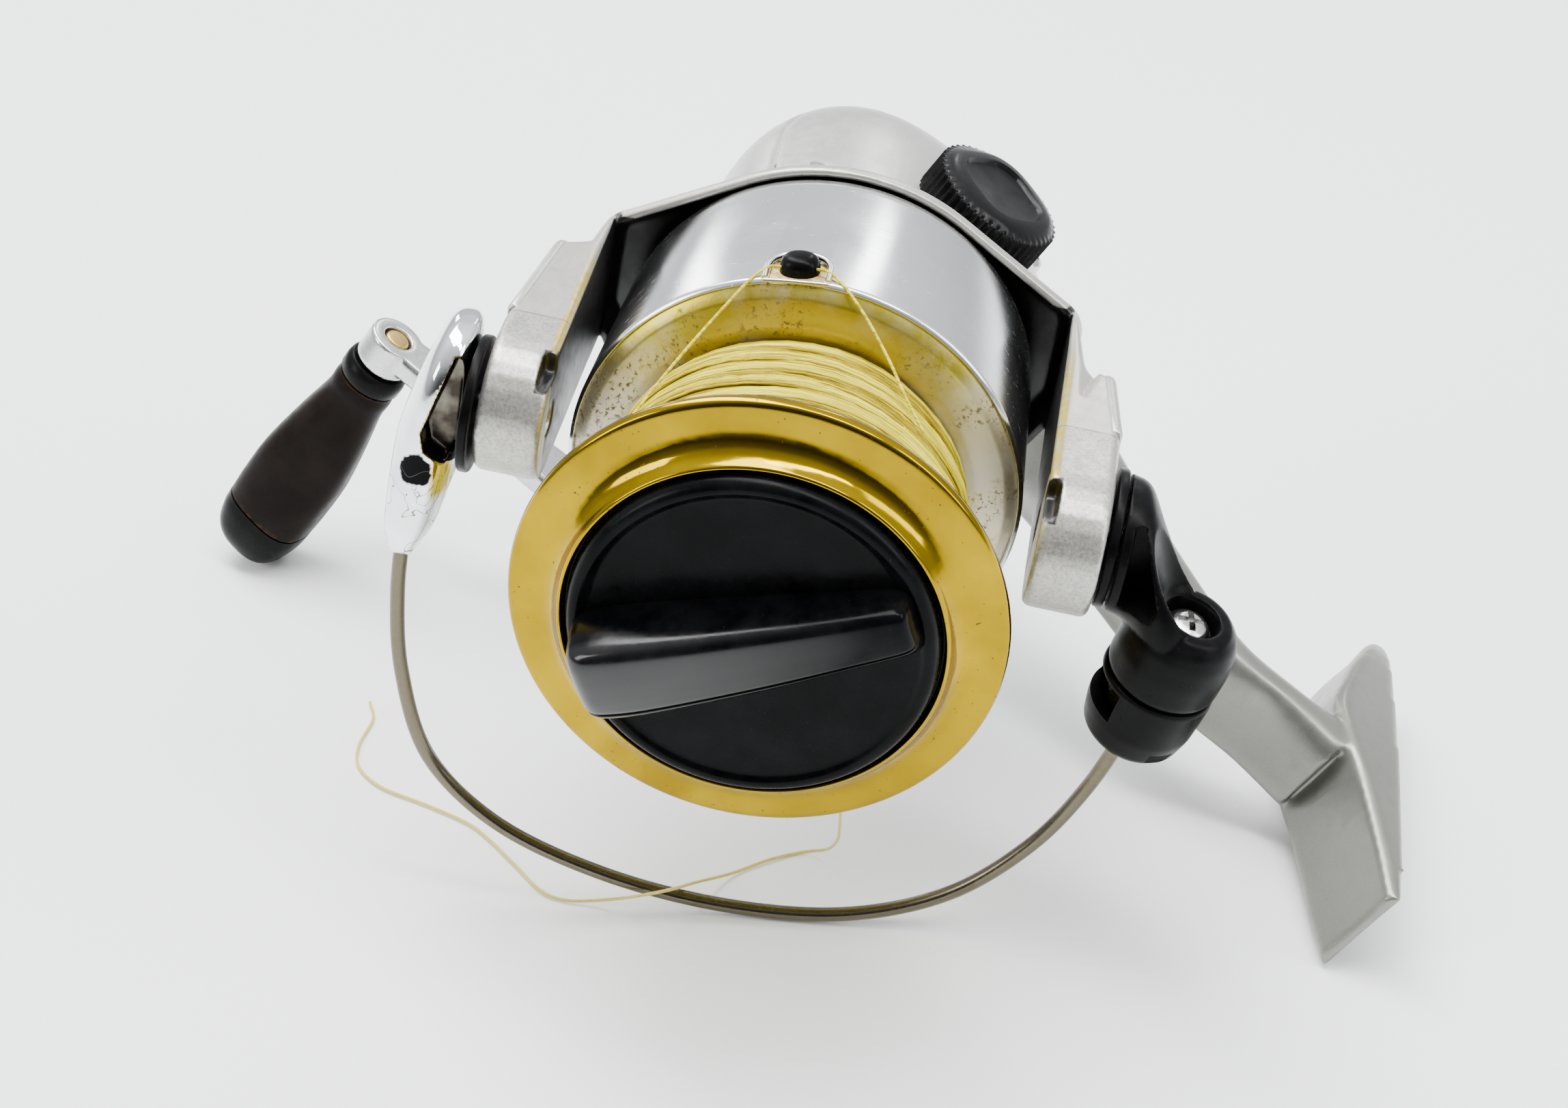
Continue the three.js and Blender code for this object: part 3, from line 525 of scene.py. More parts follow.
def gold_dull():
    """The winding's rear flange: gold that has worn and gone white with salt, speckled brown."""
    p = Paint("gold_dull", Metallic=0.85)
    # More gold on the side toward the line clip, which lies uppermost.
    high = p.step(p.toward((cos(CLIP), 0, sin(CLIP))), 21, 7)
    worn = p.math("ADD", p.times(high, 0.9), p.step(p.noise(0.16, 5, 0.6), 0.3, 0.75, -0.25, 0.45))
    color = p.mix(worn, (0.44, 0.355, 0.025), (0.62, 0.58, 0.46))
    specks = p.times(p.step(p.noise(1.3, 4, 0.75), 0.53, 0.62), p.step(p.noise(0.11, 2), 0.42, 0.54))
    color = p.mix(p.times(specks, 0.8), color, (0.16, 0.10, 0.045))
    rough = p.blend(specks, p.step(worn, 0, 1, 0.30, 0.5), 0.75)
    return p.finish(color, rough, height=p.noise(0.9, 4), strength=0.15, distance=0.2)


def polished():
    p = Paint("polished_skirt", Metallic=1.0, Anisotropic=0.45)
    lines = p.noise(1.0, 3, 0.6, p.stretched(0.02, 7.0, 0.02))
    smear = p.noise(0.08, 3)
    color = p.mix(p.step(smear, 0.3, 0.7), (0.78, 0.79, 0.81), (0.70, 0.71, 0.74))
    scratch = p.step(p.noise(1.0, 2, 0.5, p.stretched(0.35, 2.4, 0.9), warp=1.2), 0.68, 0.74)
    rear = p.step(p.part("Y"), 56, 61)
    flecks = p.times(p.step(p.noise(0.8, 4, 0.7), 0.58, 0.66), rear)
    color = p.mix(flecks, color, (0.42, 0.36, 0.28))
    rough = p.blend(p.math("MAXIMUM", scratch, flecks), p.step(lines, 0.3, 0.7, 0.15, 0.24), 0.42)
    return p.finish(color, rough, height=lines, strength=0.05, distance=0.05)


def flake_paint(name, base, wear, worn_to, rough=0.36, metal=0.72, grain=3.4, arms=False, dull=None):
    """Silver paint with metal flake, rubbed through along its edges."""
    p = Paint(name, Metallic=metal)
    flake = p.noise(grain, 2, 0.8)
    color = p.mix(p.step(flake, 0.3, 0.7), shaded(base, 0.74), base)
    if arms:  # the tips of the arms have a coarser, duller flake
        coarse = p.step(p.noise(2.2, 3, 0.8), 0.35, 0.65)
        coarse = p.mix(coarse, shaded(base, 0.45), shaded(base, 0.95))
        color = p.mix(p.step(p.part("Y"), 31.2, 31.0, 0, 0.8), color, coarse)
    cloud = p.noise(0.07, 4)
    color = p.mix(p.step(cloud, 0.45, 0.8, 0, 0.22), color, shaded(base, 0.8))
    edge = p.step(p.times(p.attribute("edge"), p.step(p.noise(0.45, 4, 0.65), 0.36, 0.62)), wear, wear + 0.2)
    color = p.mix(edge, color, worn_to)
    dirt = p.times(p.step(p.noise(1.1, 3, 0.7), 0.66, 0.74), p.step(p.noise(0.1, 2), 0.5, 0.62))
    color = p.mix(p.times(dirt, 0.6), color, (0.17, 0.13, 0.08))
    if dull:  # the stem and foot: painted shade, the paint darker towards the foot
        color = p.mix(p.step(p.part("Z"), 24, 46, 0, 0.8), color, dull)
    r = p.blend(edge, p.step(p.noise(0.5, 3), 0.3, 0.7, rough - 0.05, rough + 0.06), 0.5)
    if arms:  # painted shade, near black, on the inner faces, and yellowed along the inner edges near the tips
        out = p.math("ABSOLUTE", p.part("Z"))
        y = p.part("Y")
        inside = p.attribute("inside")
        yellow = p.times(p.band(out, 31.4, 32.5, 0.35), p.band(y, 13, 44, 8))
        yellow = p.times(yellow, p.step(p.part("X"), -15.3, -15.9))
        yellow = p.times(yellow, p.step(p.noise(0.5, 3), 0.3, 0.55, 0.35, 1.0))
        color = p.mix(yellow, color, (0.46, 0.36, 0.07))
        seam = p.times(p.band(y, 31.05, 31.25, 0.08), p.step(p.part("X"), -15.6, -16.0))
        color = p.mix(p.times(seam, 0.55), color, (0.10, 0.09, 0.07))
        # Painted shade: the arms' inner faces, the tip notches and the rim's recess go near black.
        color = p.mix(inside, color, (0.005, 0.0045, 0.0045))
        metal_out = p.blend(p.math("MAXIMUM", inside, edge), metal, 0.1)
        return p.finish(color, r, metal_out, flake, 0.12, 0.12)
    return p.finish(color, r, p.blend(edge, metal, 0.3), flake, 0.12, 0.12)


def chrome():
    """Plate over plastic: cracked, yellowed beside the hollow, and chipped to the black at one place."""
    p = Paint("chrome_plate", Metallic=1.0)
    valley = p.math("ABSOLUTE", p.math("SUBTRACT", p.noise(0.16, 2, 0.5, warp=1.0), 0.5))
    crack = p.times(p.step(valley, 0.007, 0.003), p.step(p.part("X"), -1, 3))
    yellow = p.times(p.near((2.4, 17.6, -44.0), 2.2, 3.6), p.step(p.toward((0, 0, 1)), -45.2, -44.4))
    hollow = p.attribute("inside")
    color = p.mix(p.step(p.noise(0.12, 3), 0.35, 0.7), (0.86, 0.88, 0.90), (0.66, 0.68, 0.70))
    color = p.mix(yellow, color, (0.52, 0.40, 0.03))
    # The walls of the hollow are made dark brown-black and mottled.
    dirt = p.mix(p.step(p.noise(0.22, 3, 0.5), 0.42, 0.68), (0.03, 0.025, 0.02), (0.17, 0.155, 0.125))
    color = p.mix(hollow, color, dirt)
    rim = p.times(p.band(hollow, 0.3, 0.7, 0.25), 0.8)
    color = p.mix(rim, color, (0.42, 0.33, 0.06))
    chip = p.math("ADD", p.near((1.0, 17.0, -46.9), 0, 6), p.step(p.noise(0.55, 2), 0.3, 0.7, -0.06, 0.06))
    chip = p.step(chip, 0.61, 0.65)
    color = p.mix(chip, color, (0.004, 0.004, 0.005))
    color = p.mix(crack, color, (0.16, 0.15, 0.13))
    bare = p.math("MAXIMUM", chip, crack)
    dull = p.math("MAXIMUM", bare, p.times(hollow, 0.5))
    rough = p.blend(dull, p.step(p.noise(0.3, 3), 0.4, 0.8, 0.035, 0.10), 0.5)
    p.put(p.b.inputs["Specular IOR Level"], p.step(chip, 0, 1, 0.5, 0.04))
    return p.finish(color, rough, p.step(chip, 0, 1, 1, 0), p.noise(0.2, 1), 0.04, 0.6)


def plastic(name, base, rough, grain=2.0, worn=None, scuff=0.5, strength=0.12, shine=0.5, ridge=None):
    """Moulded plastic, scuffed pale on its edges, and handled to a gloss over the ridge's stretch of y."""
    p = Paint(name, Specular_IOR_Level=shine)
    color = p.mix(p.step(p.noise(0.15, 4), 0.4, 0.75), base, shaded(base, 1.6, 0.003))
    mask = p.step(p.times(p.attribute("edge"), p.step(p.noise(0.5, 4, 0.7), 0.35, 0.6)), scuff, scuff + 0.35)
    color = p.mix(mask, color, worn or shaded(base, 2.6, 0.02))
    dust = p.times(p.step(p.noise(3.2, 2, 0.6), 0.74, 0.8), 0.2)
    color = p.mix(dust, color, (0.20, 0.19, 0.17))
    if ridge:
        p.put(p.b.inputs["Specular IOR Level"], p.step(p.part("Y"), *ridge, shine, 0.45))
    r = p.step(p.noise(0.6, 4, 0.6), 0.3, 0.75, rough - 0.06, rough + 0.09)
    return p.finish(color, r, height=p.noise(grain, 4, 0.7), strength=strength, distance=0.1)


def braid(name, light, deep):
    """Braided line: painted shade and painted highlight along each strand's slanting facets, fine fibres, and
    large darker patches.
    """
    p = Paint(name, Specular_IOR_Level=0.12)
    fibre = p.noise(7.0, 3, 0.7)
    strand = p.noise(1.0, 2, 0.7, p.stretched(0.05, 3.4, 0.05), warp=0.25)
    color = p.mix(p.step(fibre, 0.25, 0.65), deep, light)
    # Painted shade on one side of the strands and painted highlight on the other.
    color = p.mix(p.step(strand, 0.54, 0.44, 0, 0.95), color, deep)
    painted_highlight = (0.8 * light[0] + 0.16, 0.8 * light[1] + 0.15, 0.8 * light[2] + 0.02)
    color = p.mix(p.step(strand, 0.54, 0.62, 0, 0.85), color, painted_highlight)
    color = p.mix(p.step(p.noise(0.35, 3), 0.5, 0.8, 0, 0.5), color, deep)
    return p.finish(color, p.step(fibre, 0.3, 0.7, 0.42, 0.66), height=fibre, strength=0.35, distance=0.12)


def steel(name, base, rough, cad=False):
    """Bare metal with a fine grain and brown stains."""
    p = Paint(name, cad, Metallic=1.0)
    g = p.noise(2.5, 4, 0.65)
    color = p.mix(p.step(g, 0.3, 0.75), shaded(base, 0.82), base)
    stain = p.step(p.noise(0.25, 4, 0.6), 0.56, 0.74, 0, 0.5)
    color = p.mix(stain, color, (base[0] * 0.6, base[1] * 0.5, base[2] * 0.38))
    r = p.step(g, 0.3, 0.7, rough * 0.8, rough * 1.25)
    return p.finish(color, r, height=g, strength=0.1, distance=0.05)


def felt():
    p = Paint("oiled_felt", True, Sheen_Weight=0.3)
    f = p.noise(4.0, 6, 0.8)
    color = p.mix(f, (0.13, 0.11, 0.085), (0.30, 0.27, 0.22))
    return p.finish(color, 0.9, height=f, strength=0.7, distance=0.4)


GOLD = gold_mirror()
FLANGE = gold_dull()
POLISHED = polished()
ROTOR_PAINT = flake_paint("rotor_paint", (0.56, 0.55, 0.51), 0.34, (0.36, 0.28, 0.13), 0.36, arms=True)
COVER_PAINT = flake_paint("cover_paint", (0.58, 0.575, 0.55), 0.34, (0.34, 0.26, 0.12), 0.36, grain=4.5)
# The body's paint carries painted shade over the stem and foot.
BODY_PAINT = flake_paint("body_paint", (0.62, 0.62, 0.60), 0.42, (0.27, 0.21, 0.13), 0.34, grain=4.2,
    dull=(0.135, 0.135, 0.115))
CHROME = chrome()
KNOB_BLACK = plastic("knob_black", (0.0010, 0.0011, 0.0014), 0.24, 2.6, strength=0.05, shine=0.05)
BAR_BLACK = plastic("bar_black", (0.0010, 0.0011, 0.0014), 0.17, 2.2, strength=0.03, shine=0.05,
    ridge=(-10.8, -13.6))
SATIN_BLACK = plastic("satin_black", (0.0018, 0.0018, 0.0021), 0.32, 3.0, shine=0.06)
RIB_BLACK = plastic("rib_black", (0.002, 0.002, 0.0023), 0.28, 2.2, shine=0.16)
GRIP_BLACK = plastic("grip_black", (0.0035, 0.0018, 0.0011), 0.4, 1.4, (0.05, 0.02, 0.008), 0.10,
    strength=0.25, shine=0.06)
GLOSS_BLACK = plastic("gloss_black", (0.0010, 0.0010, 0.0012), 0.28, 1.0, shine=0.06)
CREAM = plastic("cream_plastic", (0.62, 0.48, 0.20), 0.45, 1.5, (0.35, 0.22, 0.08), 0.3)
# Shaded, plain and lit copies of the braid, which paint shade and highlight onto the winding's turns.
BRAID = braid("braid", (0.66, 0.54, 0.0), (0.20, 0.135, 0.0))
BRAID_SHADED = braid("braid_shaded", (0.44, 0.34, 0.0), (0.15, 0.095, 0.0))
BRAID_LIT = braid("braid_lit", (0.86, 0.78, 0.06), (0.44, 0.35, 0.0))
WIRE = steel("bail_wire_steel", (0.135, 0.118, 0.082), 0.22)
SCREW = steel("screw_steel", (0.66, 0.66, 0.65), 0.22)
RIVET = steel("rivet_brass", (0.55, 0.38, 0.13), 0.38)
CRANK_METAL = flake_paint("crank_metal", (0.66, 0.66, 0.66), 0.5, (0.4, 0.34, 0.24), 0.24, 0.95)
INNER = {
    "steel": steel("inner_steel", (0.52, 0.52, 0.51), 0.3, True),
    "wire": steel("inner_wire", (0.50, 0.48, 0.44), 0.3, True),
    "brass": steel("inner_brass", (0.58, 0.43, 0.16), 0.36, True),
    "gold_anodised": steel("inner_gold", (0.66, 0.46, 0.10), 0.3, True),
    "felt": felt(),
}


def inner_black():
    p = Paint("inner_black", True)
    g = p.noise(2.5, 4, 0.7)
    color = p.mix(g, (0.010, 0.010, 0.011), (0.03, 0.03, 0.032))
    return p.finish(color, p.step(g, 0.3, 0.7, 0.35, 0.5), height=g, strength=0.1)


INNER["black_plastic"] = INNER["black_gloss"] = inner_black()


# ---------------------------------------------------------------- spool
def spool():
    build("spool_lip_shell", turned([
        (17.1, -2.2), (23.35, -2.2), (23.4, -4.05), (23.7, -4.4), (24.05, -4.25), (24.35, -3.5),
        (24.75, -2.8), (25.35, -2.15), (26.1, -1.7), (27.1, -1.4), (28.6, -1.18), (30.2, -0.95),
        (30.75, -0.7), (31.0, 0.1), (30.7, 1.1), (29.6, 1.7), (24, 2.4), (17.1, 2.4),
    ], 240, 0.3, 3), "spool", GOLD, "gold_anodised", ["spool_lip"])
    build("spool_barrel", turned([
        (14.8, -1.5), (16.8, -1.5), (16.8, 2.8), (18, 2.8), (18, 28.6), (24, 28.9), (27.6, 29.6),
        (29.1, 30.75), (29.1, 31.2), (27.2, 32.6), (9, 32.6), (9, 36), (5.3, 36), (5.3, 16.5),
        (14.8, 16.5),
    ], 200, 0.3, 2), "spool", FLANGE, "gold_anodised", ["spool_body"])
    skirt = mesh_object("spool_skirt_shell", turned([
        (29.0, 31.0), (29.2, 30.35), (29.8, 30.9), (SKIRT_REAR_R + 0.25, 58.5), (SKIRT_REAR_R, SKIRT_REAR),
        (SKIRT_REAR_R - 1.2, SKIRT_REAR), (27.35, 34.4), (23, 34.4), (23, 32.95), (27.5, 32.95),
        (28.4, 32.2),
    ], 300, 0.3, 3))
    boolean(skirt, at_clip(box((28.75, 29, -3.6), (32, 36.4, 3.6))))
    place(skirt, "spool", POLISHED, "polished_aluminium", ["spool_skirt"])
    # Raised frame round the window of the line clip, open to the front.
    path = [
        (29.55, 30.9, -4.0), (29.62, 32.6, -4.05), (29.66, 34.6, -3.9), (29.72, 36.2, -3.1),
        (29.8, 37.0, -1.6), (29.85, 37.2, 0),
    ]
    path = catmull(path + [(r, y, -z) for r, y, z in path[-2::-1]], 6)
    build("clip_window_frame", at_clip(tube(path, 0.42, 10)), "spool", POLISHED, "polished_aluminium")
    sill = catmull([(29.3, 30.75, -4.1), (29.42, 30.6, -2), (29.45, 30.6, 2), (29.3, 30.75, 4.1)], 6)
    build("clip_window_sill", at_clip(tube(sill, 0.3, 10)), "spool", POLISHED, "polished_aluminium")
    floor_ = [oval((r, 33.7, 0), AY, AZ, 3.0, 3.55, 5, 40) for r in (28.55, 28.95)]
    build("clip_seat_plate", at_clip(loft(floor_)), "spool", CREAM, "cream_plastic", ["clip_seat"])
    dome = [
        (28.95, 2.3, 2.6), (29.7, 2.25, 2.55), (30.4, 2.05, 2.35), (30.9, 1.65, 1.9), (31.15, 1.1, 1.3),
        (31.25, 0.4, 0.5),
    ]
    button = loft([oval((r, 34.6, 0), AY, AZ, hy, hz, 2.2, 56) for r, hy, hz in blended(dome, 3)])
    build("line_clip_button", at_clip(button), "spool", GLOSS_BLACK, "black_plastic", ["line_clip"], sharp=70)


def winding():
    """Solid core with the line's outer turns wound over it, crossing at a slant."""
    front, rear, core_radius = 3.1, 28.2, 18.3

    def radius(y):
        k = (y - front) / 25
        return 25.4 - 2.2 * k - 0.7 * max(0, k - 0.82) / 0.18 - 0.9 * max(0, 0.1 - k) / 0.1

    stations = [front + 25.1 * i / 24 for i in range(25)]
    core = [(core_radius, front)] + [(radius(y) - 0.25, y) for y in stations] + [(core_radius, rear)]
    # The core takes the shaded braid: painted shade in the gaps between the turns.
    build("winding_core", lathe(core, 160, lambda r, y, t: r + 0.10 * sin(9 * t + y) if r > 19 else r),
          "spool", BRAID_SHADED, "braid", ["line_winding"])
    strands = []
    for layer in range(3):
        path, turns, per, strand = [], 62, 46, 0.235
        start, drift = RNG.uniform(0, 2 * PI), RNG.uniform(0.97, 1.05)
        for i in range(turns * per):
            turn = i / per
            k = (turn * 2 / 7.1 * drift + layer * 0.37) % 2
            y = 3.5 + 24.2 * (k if k < 1 else 2 - k)
            wobble = 0.35 * sin(turn * 1.7 + layer * 2)
            wobble += 0.22 * sin(turn * 2 * PI * 0.93 + 3 * layer)
            y = min(28.0, max(3.3, y + wobble))
            r = radius(y) - 0.12 + 0.11 * layer
            r = r + 0.05 * sin(turn * 5.1) + 0.05 * sin(7 * turn * 2 * PI)
            a = start + turn * 2 * PI
            path.append((r * cos(a), y, r * sin(a)))
        strands.append(tube(path, strand, 6, 0.5, 0.8))
    # From the lowest layer to the top one: shaded, plain and lit braid, as painted shade and painted highlight.
    for i, (made, shade) in enumerate(zip(strands, (BRAID_SHADED, BRAID, BRAID_LIT))):
        build(f"winding_turns_{i + 1}", made, "spool", shade, "braid", sharp=180)
    # Two strands run from the clip: one down to the winding, one across it and in behind the lip.
    c, s = cos(CLIP), sin(CLIP)

    def on(angle, r, y):
        a = CLIP + angle
        return (r * cos(a), y, r * sin(a))

    left = [(29.8 * c + 2.2 * s, 33.6, 29.8 * s - 2.2 * c), on(-0.125, 30.2, 33.0), on(-0.2, 29.9, 31.0),
            on(-0.33, 28.2, 28.2), on(-0.5, 26.2, 24.5), on(-0.66, 25.3, 20.0), on(-0.8, 24.95, 17.2)]
    right = [(29.8 * c - 2.2 * s, 33.6, 29.8 * s + 2.2 * c), on(0.12, 30.2, 33.1), on(0.18, 29.95, 31.2),
             on(0.3, 28.4, 27.2), on(0.52, 26.6, 20.0), on(0.78, 25.7, 12.4), on(1.0, 25.75, 6.6),
             on(1.2, 25.9, 3.9), on(1.5, 25.6, 3.4)]
    # The strands from the clip take the lit braid: painted highlight.
    for side, path in (("a", left), ("b", right)):
        strand = tube(catmull(path, 12), 0.2, 8, 0.5)
        build(f"clipped_strand_{side}", strand, "spool", BRAID_LIT, "braid", sharp=180)


# ---------------------------------------------------------------- drag knob
def drag_knob():
    build("drag_knob_disc", turned([
        (0, -5.55), (14, -5.5), (20.4, -5.3), (21.3, -5.9), (22.3, -5.6), (22.9, -4.6), (22.9, -2.6),
        (14.2, -2.6), (14.2, 4.6), (8, 4.6), (8, -1.8), (0, -1.8),
    ], 220, 0.5, 4), "drag", KNOB_BLACK, "black_plastic", ["drag_knob"])
    # Finger bar along u: broad, high and blunt at one end, low and narrow at the other.
    stations = blended([
        (21.0, 5.6, 4.2), (20.7, 6.7, 6.8), (19.6, 7.4, 8.2), (17.5, 7.75, 8.7), (13, 7.8, 8.8),
        (5, 7.2, 8.3), (-4, 6.4, 7.4), (-12, 5.5, 6.3), (-17, 5.0, 5.5), (-19.3, 4.7, 5.0),
        (-20.4, 4.2, 4.2), (-20.9, 3.2, 2.6),
    ], 5)
    # Across the bar, from its upper flank over the blunt ridge and the front face to its lower flank.
    section = [
        (-1, -0.1), (-0.97, 0.25), (-0.90, 0.62), (-0.80, 0.90), (-0.62, 0.99), (-0.35, 1.0), (-0.05, 0.97),
        (0.18, 0.93), (0.36, 0.87), (0.42, 0.80), (0.45, 0.82), (0.60, 0.68), (0.76, 0.46), (0.88, 0.24),
        (0.97, 0.06), (1.0, -0.1),
    ]
    fine = [Vector((w, h, 0)) for w, h in section]
    fine = [(q.x, q.y) for q in catmull(fine, 6)]
    rings = []
    for u, half, high in stations:
        ring = []
        for w, h in fine:
            deep = 0.0
            if w > 0.45 and h > 0:  # two grooves along the lower flank
                for at_, start in ((0.58, -1.0), (0.36, 5.0)):
                    run = min(max((start - u) / 2.5, 0), 1) * min(max((u + 19) / 2, 0), 1)
                    deep += 0.34 * run * exp(-((h - at_) / 0.055) ** 2)
            ring.append((u, -5.2 - high * h + 0.5 * deep, w * half - deep))
        rings.append(ring)
    verts, faces = loft(rings)
    a = radians(40.2)
    verts = [(u * cos(a) + w * sin(a), y, -u * sin(a) + w * cos(a)) for u, y, w in verts]
    build("drag_finger_bar", (verts, faces), "drag", BAR_BLACK, "black_plastic", sharp=50)
    gap = turned([(23.0, -2.1), (23.32, -2.1), (23.32, -2.9), (23.0, -2.9)], 160, 0.1)
    build("drag_gap_ring", gap, "spool", SATIN_BLACK, "black_plastic")


# ---------------------------------------------------------------- rotor
def rounded_box(b0, b1, s0, s1, corner):
    """Ring of (b, s) points round a box with rounded corners."""
    corner = min(corner, 0.49 * (b1 - b0), 0.49 * (s1 - s0))
    right, left, high, low = b1 - corner, b0 + corner, s1 - corner, s0 + corner
    out = []
    for start, (cb, cs) in enumerate(((right, high), (left, high), (left, low), (right, low))):
        for k in range(6):
            t = (start + k / 5) * PI / 2
            out.append((cb + corner * cos(t), cs + corner * sin(t)))
    return out


def arm_out(y, block_end):
    """Outer face of an arm: a block that leans in, a short step at its end, and a slope to the rim."""
    k = min(max((y - block_end + 0.6) / 2.4, 0), 1)
    low = 31.9 + 0.16 * (63.2 - y)
    high = ARM_OUT - 0.125 * max(y - 30, 0)
    return high + (min(low, high) - high) * k * k * (3 - 2 * k)


def arm(tip_y, block_end):
    """Rotor arm on the +s side: round at its tip, leaning in to the rim at its rear."""
    rows = []
    for deg in (3, 10, 18, 28, 38, 50, 62, 75, 90):
        t = radians(deg)
        half = ARM_HALF * sin(t)
        rows.append((tip_y - ARM_HALF * cos(t), PIVOT_B - half, PIVOT_B + half))
    rear = 62.9
    for k in range(1, 49):
        f = k / 48
        y = tip_y + (rear - tip_y) * f
        # The front edge runs in to the rim's round corner.
        tuck = min(max((y - 56) / (rear - 56), 0), 1)
        rows.append((y, PIVOT_B - ARM_HALF + 1.5 * tuck * tuck, PIVOT_B + ARM_HALF + f))
    rings = []
    for y, b0, b1 in rows:
        ring = rounded_box(b0, b1, ARM_IN, arm_out(y, block_end) - 0.15, 1.1)
        rings.append([(b, y, s) for b, s in ring])
    return loft(rings)


def flipped(made):
    return [(v[0], v[1], -v[2]) for v in made[0]], [list(f)[::-1] for f in made[1]]


HULL = [(0, 0, 29.4)] + [(b, s, 5) for b in (-11.5, -1.5) for s in (-28.5, 28.5)]


def rotor_painted_shade(co):
    """1 where the rotor gets painted shade, near black: the arms' inner faces, the notches of their tips and the
    rim's recess.
    """
    b, y, s = co[:, 0], co[:, 1], co[:, 2]
    within = np.full(len(co), -1e9)
    for k in range(72):
        c, d = cos(PI * k / 36), sin(PI * k / 36)
        within = np.maximum(within, b * c + s * d - max(u * c + v * d + r for u, v, r in HULL))
    recess = (within < -0.67 - 0.53 * (y - 62.2)) & (y > 62.2) & (y < 65.3)
    faces = (np.abs(s) < 31.75) & (b > -15.9) & (y > 20.5) & (y < 65)
    tip = np.where(s > 0, ROLLER_TIP, BAIL_TIP)
    notch = (np.abs(s) < 33.35) & (b < -13.15) & (y < tip - 1.35)
    return np.where(recess | faces | notch, 1.0, 0.0).astype(np.float32)


def rotor():
    cup = turned([
        (0, 44), (24.4, 44), (25.4, 45), (25.4, 65.6), (24.6, 66.4), (24.6, ROTOR_REAR),
        (23.8, ROTOR_REAR), (23.4, 46.8), (8.2, 46.8), (8.2, 53), (0, 53),
    ], 200, 0.5, 3)
    rim = [(61.4, 0.5), (61.5, 0.15), (61.8, 0), (63.0, 0), (ROTOR_REAR, 4.4)]
    body = mesh_object("rotor_casting", slab(HULL, rim, lambda u, v, w: (u, w, v), 160))
    boolean(body, slab(HULL, [(60, 1.1), (61.8, 1.1), (64.8, 2.9)], lambda u, v, w: (u, w, v), 160))
    boolean(body, disc(23.6, 60, 72, 120))
    boolean(body, arm(ROLLER_TIP, ROLLER_BLOCK), "UNION")
    boolean(body, flipped(arm(BAIL_TIP, BAIL_BLOCK)), "UNION")
    facet = [(32.9, 61), (35.9, 47.2), (34.0, 36.5)]  # sloping facet that meets the block in a V
    low = [(s + 0.6 * (s > 35), y) for s, y in facet]
    boolean(body, loft([[(-19, y, s) for s, y in low], [(-16.5 + 1.7 * (s > 35), y, s) for s, y in facet]]))
    for k, tip in ((1, ROLLER_TIP), (-1, BAIL_TIP)):
        # Stepped recess in the inner corner of the tip.
        notch = box((-18, tip - 11, 30.5), (-13.4, tip - 1.6, 33.1))
        boolean(body, notch if k > 0 else flipped(notch))
        boolean(body, along_z(disc(2.3, 30, 45, 32), PIVOT_B, PIVOT_Y, k))
    remeshed(body, 0.34, 3)
    place(body, "rotor", ROTOR_PAINT, "silver_paint", ["rotor_frame"], ROTOR, 60, rotor_painted_shade)
    # The cup is made black: painted shade, seen only through the gaps beside the arms.
    build("rotor_cup", cup, "rotor", SATIN_BLACK, "black_plastic", (), ROTOR)
    # Outer covers of the arms, which stand a little proud and end short of the pivots.
    for name, k, end in (("arm_cover_roller", 1, ROLLER_BLOCK), ("arm_cover_bail", -1, BAIL_BLOCK)):
        rings = []
        edges = [(32.0, 0.4), (32.1, 0.15), (32.4, 0), (36, 0), (end - 6, 0), (end - 1, 0)]
        for y, inset in edges + [(end - 0.2, 0.1), (end + 0.3, 0.35), (end + 0.6, 0.8)]:
            outer = ARM_OUT + 0.28 - 0.125 * (y - 30)
            ring = rounded_box(-16.62 + inset, 2.6 - inset, outer - 1.7, outer - inset, 0.8)
            rings.append([(b, y, s) for b, s in ring])
        plate = loft(rings) if k > 0 else flipped(loft(rings))
        build(name + "_plate", plate, "rotor", COVER_PAINT, "silver_paint", [name], ROTOR, 50)
    low = ARM_OUT + 0.3
    washer = slab([(PIVOT_B, PIVOT_Y, 8.9)], edged(low, low + 1.3, 0.3), lambda u, v, w: (u, v, w))
    for name, made in (("pivot_washer_roller", washer), ("pivot_washer_bail", flipped(washer))):
        build(name + "_disc", made, "rotor", SATIN_BLACK, "black_plastic", [name], ROTOR)


def disc(radius, low, high, sides=64):
    return turned([(0, low), (radius, low), (radius, high), (0, high)], sides, 0.02, 1)


# ---------------------------------------------------------------- bail
WIRE_POINTS = [
    (-48, 11), (-47.8, 22), (-46, 34), (-41, 46.5), (-31, 54.8), (-15, 59.6), (3, 60.4), (19, 57.4),
    (31.5, 50.5), (40.5, 40), (45.5, 30), (48.3, 21), (48.8, 16.4),
]
LEAN = radians(4.3)


